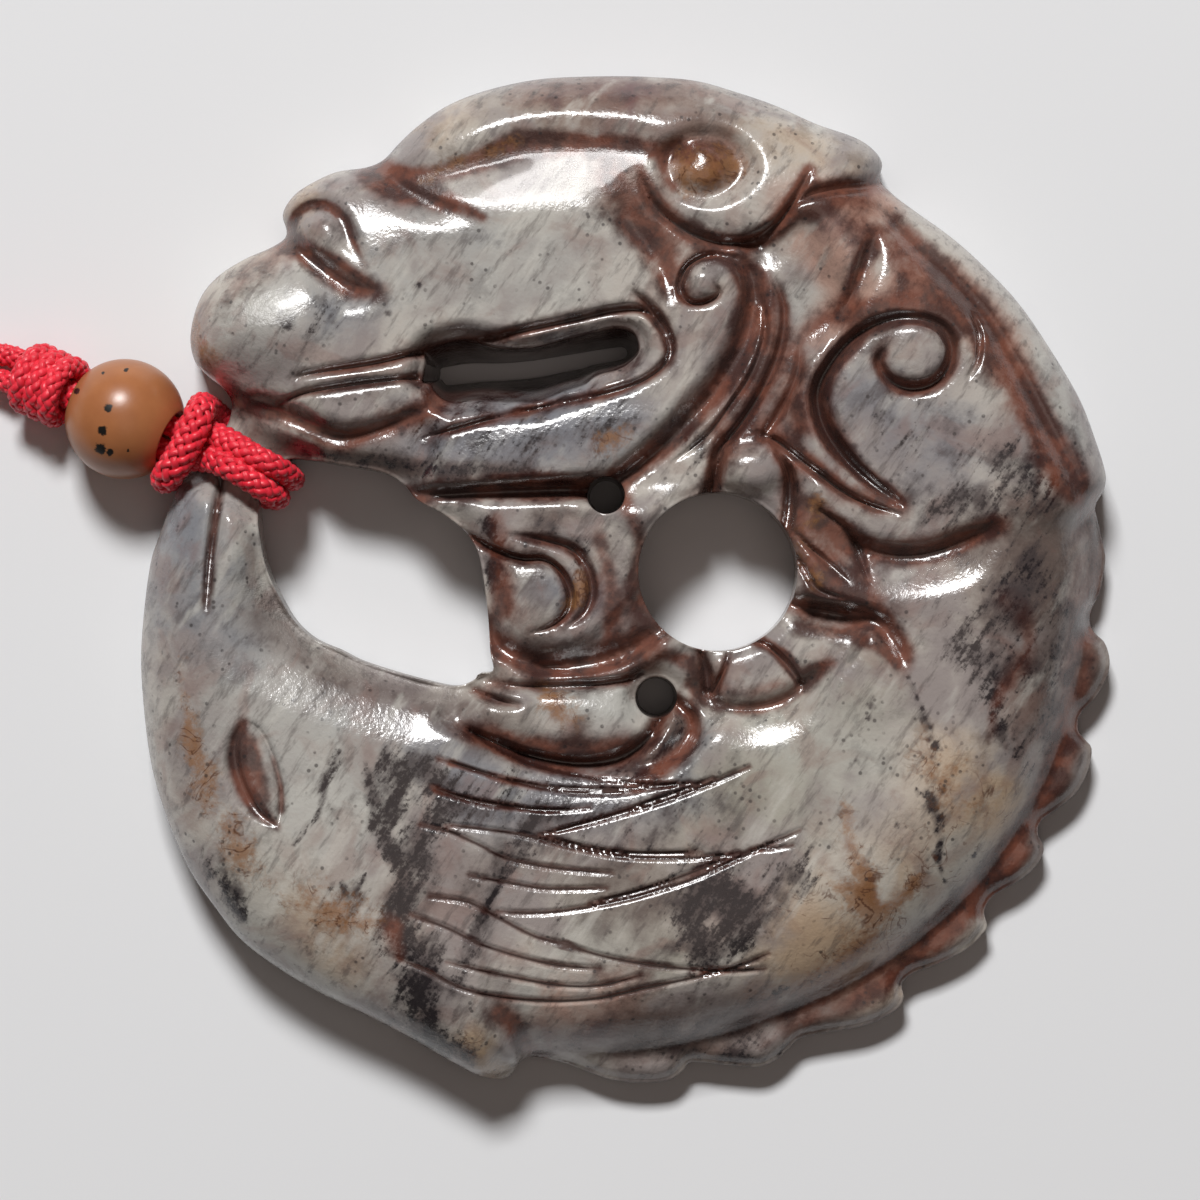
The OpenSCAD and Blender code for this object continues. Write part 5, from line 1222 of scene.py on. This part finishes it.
# Single dark grains, as x, y and radius.
GRAINS = [
    (939, 788, 3), (913, 788, 3), (935, 855, 3), (972, 855, 3), (893, 823, 3), (868, 705, 4),
    (905, 676, 3), (911, 684, 2), (914, 697, 3), (919, 706, 2), (921, 718, 3), (927, 726, 2.5), (924, 738, 3),
    (931, 744, 4), (938, 748, 3), (929, 756, 3), (934, 762, 2.5), (922, 790, 4), (928, 797, 4), (931, 806, 3),
    (936, 816, 3.5), (933, 829, 2.5), (937, 842, 3), (936, 856, 2.5), (939, 868, 3), (943, 880, 3), (915, 792, 3),
    (870, 695, 2), (866, 716, 3), (862, 740, 2), (855, 760, 2), (236, 337, 3), (421, 288, 3), (293, 330, 4),
    (391, 317, 4), (320, 207, 3),
]
GRAIN_STRENGTH = 0.95
# The dirt in a cut shows over this share of its stain's width. It is as strong as the stain says from this
# depth on, in millimetres, and never less than this share of it. A hair line's dirt has a reach and a strength.
CUT_DIRT_WIDTH, CUT_DIRT_DEPTH, CUT_DIRT_LEAST = 0.8, 0.5, 0.2
HAIR_DIRT_REACH, HAIR_DIRT_STRENGTH = 4 * GRID, 0.55
# A wash fades out over so many times its reach, and its rows blend into each other over so many millimetres.
WASH_FADE, WASH_BLEND = 1.6, 0.6


def add_wash(clean, points, stroke, reach, strength):
    """Lays one more wash over the others; clean holds how much of the stone has no stain yet."""
    near = near_box(points, stroke, reach.max() * WASH_FADE)
    rows = np.column_stack([stroke[:, :2], reach, strength])
    away, _, columns = beside_stroke(points[near], rows, WASH_BLEND)
    clean[near] *= 1 - columns[:, 1] * np.exp(-((away / np.maximum(columns[:, 0], 1e-3)) ** 2))


def stains(points):
    """How strong each stain is at the points, from 0 to 1."""
    clean = {name: np.ones(len(points)) for name in WASHES}
    for name, washes in WASHES.items():
        for rows in washes:
            stroke = flowing(with_reach(rows, [2]), 4)
            add_wash(clean[name], points, stroke, stroke[:, 2], np.clip(stroke[:, 3], 0, 1))
    for _, (strength, width), rows in CUTS.values():
        if strength:
            stroke = flowing(with_reach(rows, [2, 3]), 4)
            reach = np.full(len(stroke), width * GRID * CUT_DIRT_WIDTH)
            by_depth = np.clip(stroke[:, 4] / CUT_DIRT_DEPTH, CUT_DIRT_LEAST, 1)
            add_wash(clean["russet"], points, stroke, reach, strength * by_depth)
    for rows in HAIR:
        stroke = flowing(to_mm(rows), 3)
        reach, strength = (np.full(len(stroke), value) for value in (HAIR_DIRT_REACH, HAIR_DIRT_STRENGTH))
        add_wash(clean["russet"], points, stroke, reach, strength)
    for x, y, radius in GRAINS:
        away = np.hypot(*(points - to_mm([(x, y)])[0]).T)
        clean["ink"] *= 1 - GRAIN_STRENGTH * np.exp(-((away / (radius * GRID)) ** 2))
    return {name: 1 - left for name, left in clean.items()}


def keep_values(mesh, name, values):
    """Values for a mesh's points, kept under the name for its material."""
    mesh.attributes.new(name, "FLOAT", "POINT").data.foreach_set("value", np.asarray(values, np.float32))


for name, values in stains(stone_points[:, :2]).items():
    keep_values(stone_mesh, name, values)
keep_values(stone_mesh, "groove", stone_dirt_and_shade)


def polished_jade():
    """Mottled grey jade: clouds and fibres, the washes over them, dirt and painted shade in the cuts, and a polish
    that wavers.
    """
    finish, tree, shader = new_finish("mottled_jade")
    place = put(tree, "ShaderNodeTexCoord").outputs["Object"]

    def noise(scale, detail=3.0, vector=place, roughness=0.55, distortion=0.0):
        return put(
            tree, "ShaderNodeTexNoise", Vector=vector, Scale=scale, Detail=detail, Roughness=roughness,
            Distortion=distortion,
        ).outputs["Fac"]

    def ramp(value, low, high):
        settings = {"interpolation_type": "SMOOTHSTEP"}
        return put(tree, "ShaderNodeMapRange", settings, Value=value, From_Min=low, From_Max=high).outputs[0]

    def times(value, factor):
        return result_of(tree, "MULTIPLY", value, factor)

    def bump(height, strength, distance, **under):
        return put(tree, "ShaderNodeBump", Height=height, Strength=strength, Distance=distance, **under).outputs[0]

    def stain(name, low, high, *patterns):
        """A stain's share, its edge broken up by patterns, each given with its strength."""
        amount = kept_value(tree, name)
        total = amount
        for pattern, strength in patterns:
            total = result_of(tree, "MULTIPLY_ADD", result_of(tree, "SUBTRACT", pattern, 0.5), strength, total)
        return times(ramp(total, low, high), ramp(amount, 0.0, 0.2))

    # The stone's own patterns, from the broadest to the finest; its fibres run up to the right.
    turned = put(tree, "ShaderNodeVectorRotate", {"rotation_type": "Z_AXIS"}, Vector=place, Angle=math.radians(-55))
    along_fibres = put(
        tree, "ShaderNodeVectorMath", {"operation": "MULTIPLY"}, in_0=turned.outputs[0], in_1=(0.25, 1.0, 0.6)
    ).outputs[0]
    cloud = noise(200.0, 5.0, distortion=0.6)
    blotch = noise(330.0, 4.0, distortion=0.8)
    veil = noise(600.0, 5.0, roughness=0.6)
    streak = noise(700.0, 4.0, along_fibres, 0.6)
    fibre = noise(1900.0, 4.0, along_fibres, 0.65)
    grain = noise(3600.0, 3.0, roughness=0.7)

    # Every colour is laid over those before it, by the share that follows it.
    soft_washes = [
        (tint, times(stain(name, 0.02, 0.85, (cloud, 1.2), (veil, 1.0)), most))
        for name, tint, most in (
            ("green", paint(144, 143, 124), 0.75), ("cream_and_painted_light", paint(184, 158, 128), 0.8),
            ("pale_and_painted_light", paint(178, 178, 172), 0.8), ("cool", paint(112, 115, 123), 0.85),
            ("rose", paint(170, 132, 116), 0.8), ("taupe", paint(92, 76, 70), 0.9), ("plum", paint(96, 68, 70), 0.8),
        )
    ]
    mottling = [
        (paint(120, 84, 74), times(ramp(blotch, 0.5, 0.66), 0.35)),
        (paint(84, 76, 73), times(ramp(veil, 0.52, 0.68), 0.35)),
        (paint(70, 63, 62), times(ramp(fibre, 0.5, 0.68), 0.48)),
        (paint(198, 196, 188), times(ramp(streak, 0.54, 0.72), 0.5)),
    ]
    russet = mixed(tree, ramp(veil, 0.38, 0.6), paint(112, 63, 47), paint(62, 33, 28))
    strong_washes = [
        (paint(62, 55, 56), times(stain("ink", 0.12, 0.85, (veil, 1.8), (fibre, 1.0)), 0.85)),
        (paint(34, 30, 33), times(stain("ink", 0.45, 0.95, (grain, 2.0), (fibre, 2.2)), 0.9)),
        (russet, times(stain("russet", 0.06, 0.8, (veil, 1.2), (streak, 1.0)), 0.9)),
        (paint(140, 98, 62), times(stain("ochre", 0.2, 1.0, (veil, 2.2), (grain, 1.2)), 0.75)),
    ]
    # Rusty veins wander where the stone is warm.
    wander = result_of(tree, "ABSOLUTE", result_of(tree, "SUBTRACT", noise(420.0, 4.0, distortion=1.2), 0.5))
    vein = times(ramp(wander, 0.022, 0.004), ramp(veil, 0.42, 0.58))
    cream_and_painted_light = times(ramp(kept_value(tree, "cream_and_painted_light"), 0.2, 0.8), 0.8)
    warm = result_of(tree, "MAXIMUM", ramp(kept_value(tree, "ochre"), 0.05, 0.5), cream_and_painted_light)
    # Specks are a few of the cells of a fine net.
    net = put(tree, "ShaderNodeTexVoronoi", Vector=place, Scale=2600.0, Randomness=1.0).outputs
    few = ramp(put(tree, "ShaderNodeSeparateColor", Color=net["Color"]).outputs[0], 0.62, 0.7)
    speck = times(times(ramp(net["Distance"], 0.34, 0.16), few), ramp(veil, 0.42, 0.6))
    marks = [
        (paint(84, 52, 36), times(times(vein, warm), 0.8)),
        # Deep cuts and dark walls go near black: dirt, and painted shade.
        (paint(44, 22, 18), times(ramp(kept_value(tree, "groove"), 0.15, 1.5), 0.88)),
        (paint(44, 40, 41), times(speck, 0.7)),
    ]
    colour = mixed(tree, ramp(cloud, 0.4, 0.6), paint(142, 134, 131), paint(180, 174, 166))
    for tint, share in soft_washes + mottling + strong_washes + marks:
        colour = mixed(tree, share, colour, tint)
    tree.links.new(colour, shader.inputs["Base Color"])

    # The polish is duller in the veil and where the wheel's marks were left.
    dull = put(tree, "ShaderNodeMapRange", Value=veil, From_Min=0.3, From_Max=0.7, To_Min=0.16, To_Max=0.31)
    matt = ramp(kept_value(tree, "matt"), 0.1, 0.9)
    tree.links.new(result_of(tree, "MULTIPLY_ADD", matt, 0.25, dull.outputs[0]), shader.inputs["Roughness"])
    shader.inputs["IOR"].default_value = 1.6
    shader.inputs["Coat Weight"].default_value = 0.2
    shader.inputs["Coat Roughness"].default_value = 0.12
    peel = bump(noise(5600.0, 2.0), 0.9, 0.02 * MM)
    waver = bump(noise(1200.0, 2.0), 0.8, 0.04 * MM, Normal=peel)
    pitted = bump(noise(3000.0, 4.0, roughness=0.7), matt, 0.13 * MM, Normal=waver)
    tree.links.new(pitted, shader.inputs["Normal"])
    return finish


stone_mesh.materials.append(polished_jade())

# The bead is a turned ball of tan stone with black spots, its bore eased at both ends.
# The doubled cord runs through it, between the knot and the hitch. Sizes are millimetres.
BEAD_MIDDLE = np.array([-25.125, 8.15, 3.02])
BEAD_RADIUS, BORE_RADIUS, BORE_EASE = 3.0, 1.325, 0.16
# Spots, as places on the grid seen from above, and radius.
BEAD_SPOTS = [
    (79, 392, 4), (129, 371, 2.5), (113, 410, 5), (107, 432, 5.5), (104, 450, 6), (114, 454, 4),
    (106, 374, 2), (132, 452, 2),
]
# The spots are on the upper side only: the part higher than this over the middle.
SPOTS_ABOVE = -0.4


def bead_mesh():
    """Points and faces of the bored ball, turned about its bore."""
    wide = BORE_RADIUS + BORE_EASE
    reach = math.sqrt(BEAD_RADIUS**2 - wide**2)
    mouth = math.asin(wide / BEAD_RADIUS)
    outside = np.linspace(mouth, math.pi - mouth, 90)
    profile = [(BEAD_RADIUS * math.cos(a), BEAD_RADIUS * math.sin(a)) for a in outside]
    turn = np.linspace(0, math.pi / 2, 6)[1:]
    eased = [(reach - BORE_EASE * math.sin(a), wide - BORE_EASE * (1 - math.cos(a))) for a in turn]
    profile += [(-x, radius) for x, radius in eased]
    profile += [(x, BORE_RADIUS) for x in np.linspace(-reach + BORE_EASE, reach - BORE_EASE, 8)[1:-1]]
    profile += eased[::-1]
    around = np.linspace(0, math.tau, 120, endpoint=False)
    spokes = [math.cos(a) * bore_up + math.sin(a) * bore_side for a in around]
    points = [BEAD_MIDDLE + bore_line * x + radius * spoke for x, radius in profile for spoke in spokes]
    count, rings = len(around), len(profile)
    faces = []
    for a in range(rings):
        b = (a + 1) % rings
        for k in range(count):
            after = (k + 1) % count
            faces.append((a * count + k, b * count + k, b * count + after, a * count + after))
    return np.array(points), faces


bead_points, bead_faces = bead_mesh()
bead_shape = bpy.data.meshes.new("stone_bead_ball")
bead_shape.from_pydata((bead_points * MM).tolist(), [], bead_faces)
bead_shape.shade_smooth()
on_top = bead_points[:, 2] > BEAD_MIDDLE[2] + SPOTS_ABOVE
spotted = np.zeros(len(bead_points))
for x, y, radius in BEAD_SPOTS:
    away = np.hypot(*(bead_points[:, :2] - to_mm([(x, y)])[0]).T)
    spotted = np.maximum(spotted, np.exp(-((away / (radius * GRID)) ** 2)) * on_top)
keep_values(bead_shape, "spot", spotted)
bead = in_scene("stone_bead_ball", bead_shape)
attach(bead, "root")
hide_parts("stone_bead")

tan_stone, tree, shader = new_finish("tan_bead_stone")
place = put(tree, "ShaderNodeTexCoord").outputs["Object"]
mottle = put(tree, "ShaderNodeTexNoise", Vector=place, Scale=500.0, Detail=4.0).outputs["Fac"]
speckle = put(tree, "ShaderNodeTexNoise", Vector=place, Scale=5000.0, Detail=2.0).outputs["Fac"]
ragged = result_of(tree, "SUBTRACT", speckle, 0.5)
edge = result_of(tree, "MULTIPLY_ADD", ragged, 0.8, kept_value(tree, "spot"))
spot_edge = {"interpolation_type": "SMOOTHSTEP"}
dark = put(tree, "ShaderNodeMapRange", spot_edge, Value=edge, From_Min=0.35, From_Max=0.6).outputs[0]
tan = mixed(tree, mottle, paint(140, 84, 52), paint(178, 118, 74))
tree.links.new(mixed(tree, dark, tan, paint(26, 24, 22)), shader.inputs["Base Color"])
shader.inputs["Roughness"].default_value = 0.32
pits = put(tree, "ShaderNodeBump", Height=speckle, Strength=0.3, Distance=0.01 * MM)
tree.links.new(pits.outputs[0], shader.inputs["Normal"])
bead_shape.materials.append(tan_stone)

# A plain ground that everything lies on, 3 m wide, so that its edge is out of sight.
# It has the white of the photograph's cloth.
TABLE_HALF = 1.5
floor_mesh = bpy.data.meshes.new("table_top")
corners = [(x * TABLE_HALF, y * TABLE_HALF, 0) for x, y in ((-1, -1), (1, -1), (1, 1), (-1, 1))]
floor_mesh.from_pydata(corners, [], [(0, 1, 2, 3)])
table_top = in_scene("table_top", floor_mesh)
cloth_white, tree, shader = new_finish("table_white")
shader.inputs["Base Color"].default_value = paint(223, 225, 227)
shader.inputs["Roughness"].default_value = 0.8
floor_mesh.materials.append(cloth_white)

# Soft light comes from a window beyond the top of the picture, and a little from the ceiling and the room.
# Each light: distance in metres, rise and turn in degrees, width and depth in metres, power and colour.
LIGHTS = {
    "window": (0.9, 50, 102, 0.225, 0.18, 9.0, (1, 0.99, 0.985)),
    "ceiling": (0.8, 80, -60, 0.5, 0.5, 0.4, (1, 0.8, 0.7)),
}
ROOM_COLOUR, ROOM_STRENGTH = (1, 0.86, 0.8, 1), 0.05
for name, (distance, rise, turn, wide, deep, power, glow) in LIGHTS.items():
    rise, turn = math.radians(rise), math.radians(turn)
    towards = Vector((math.cos(turn) * math.cos(rise), math.sin(turn) * math.cos(rise), math.sin(rise)))
    lamp_data = bpy.data.lights.new(name, "AREA")
    lamp_data.shape = "RECTANGLE"
    lamp_data.size, lamp_data.size_y, lamp_data.energy, lamp_data.color = wide, deep, power, glow
    lamp = in_scene(name, lamp_data)
    lamp.location = towards * distance
    lamp.rotation_euler = towards.to_track_quat("Z", "Y").to_euler()
room = bpy.data.worlds.new("room")
room.use_nodes = True
background = room.node_tree.nodes["Background"]
background.inputs["Color"].default_value = ROOM_COLOUR
background.inputs["Strength"].default_value = ROOM_STRENGTH
bpy.context.scene.world = room
bpy.context.scene.view_settings.view_transform = "Standard"
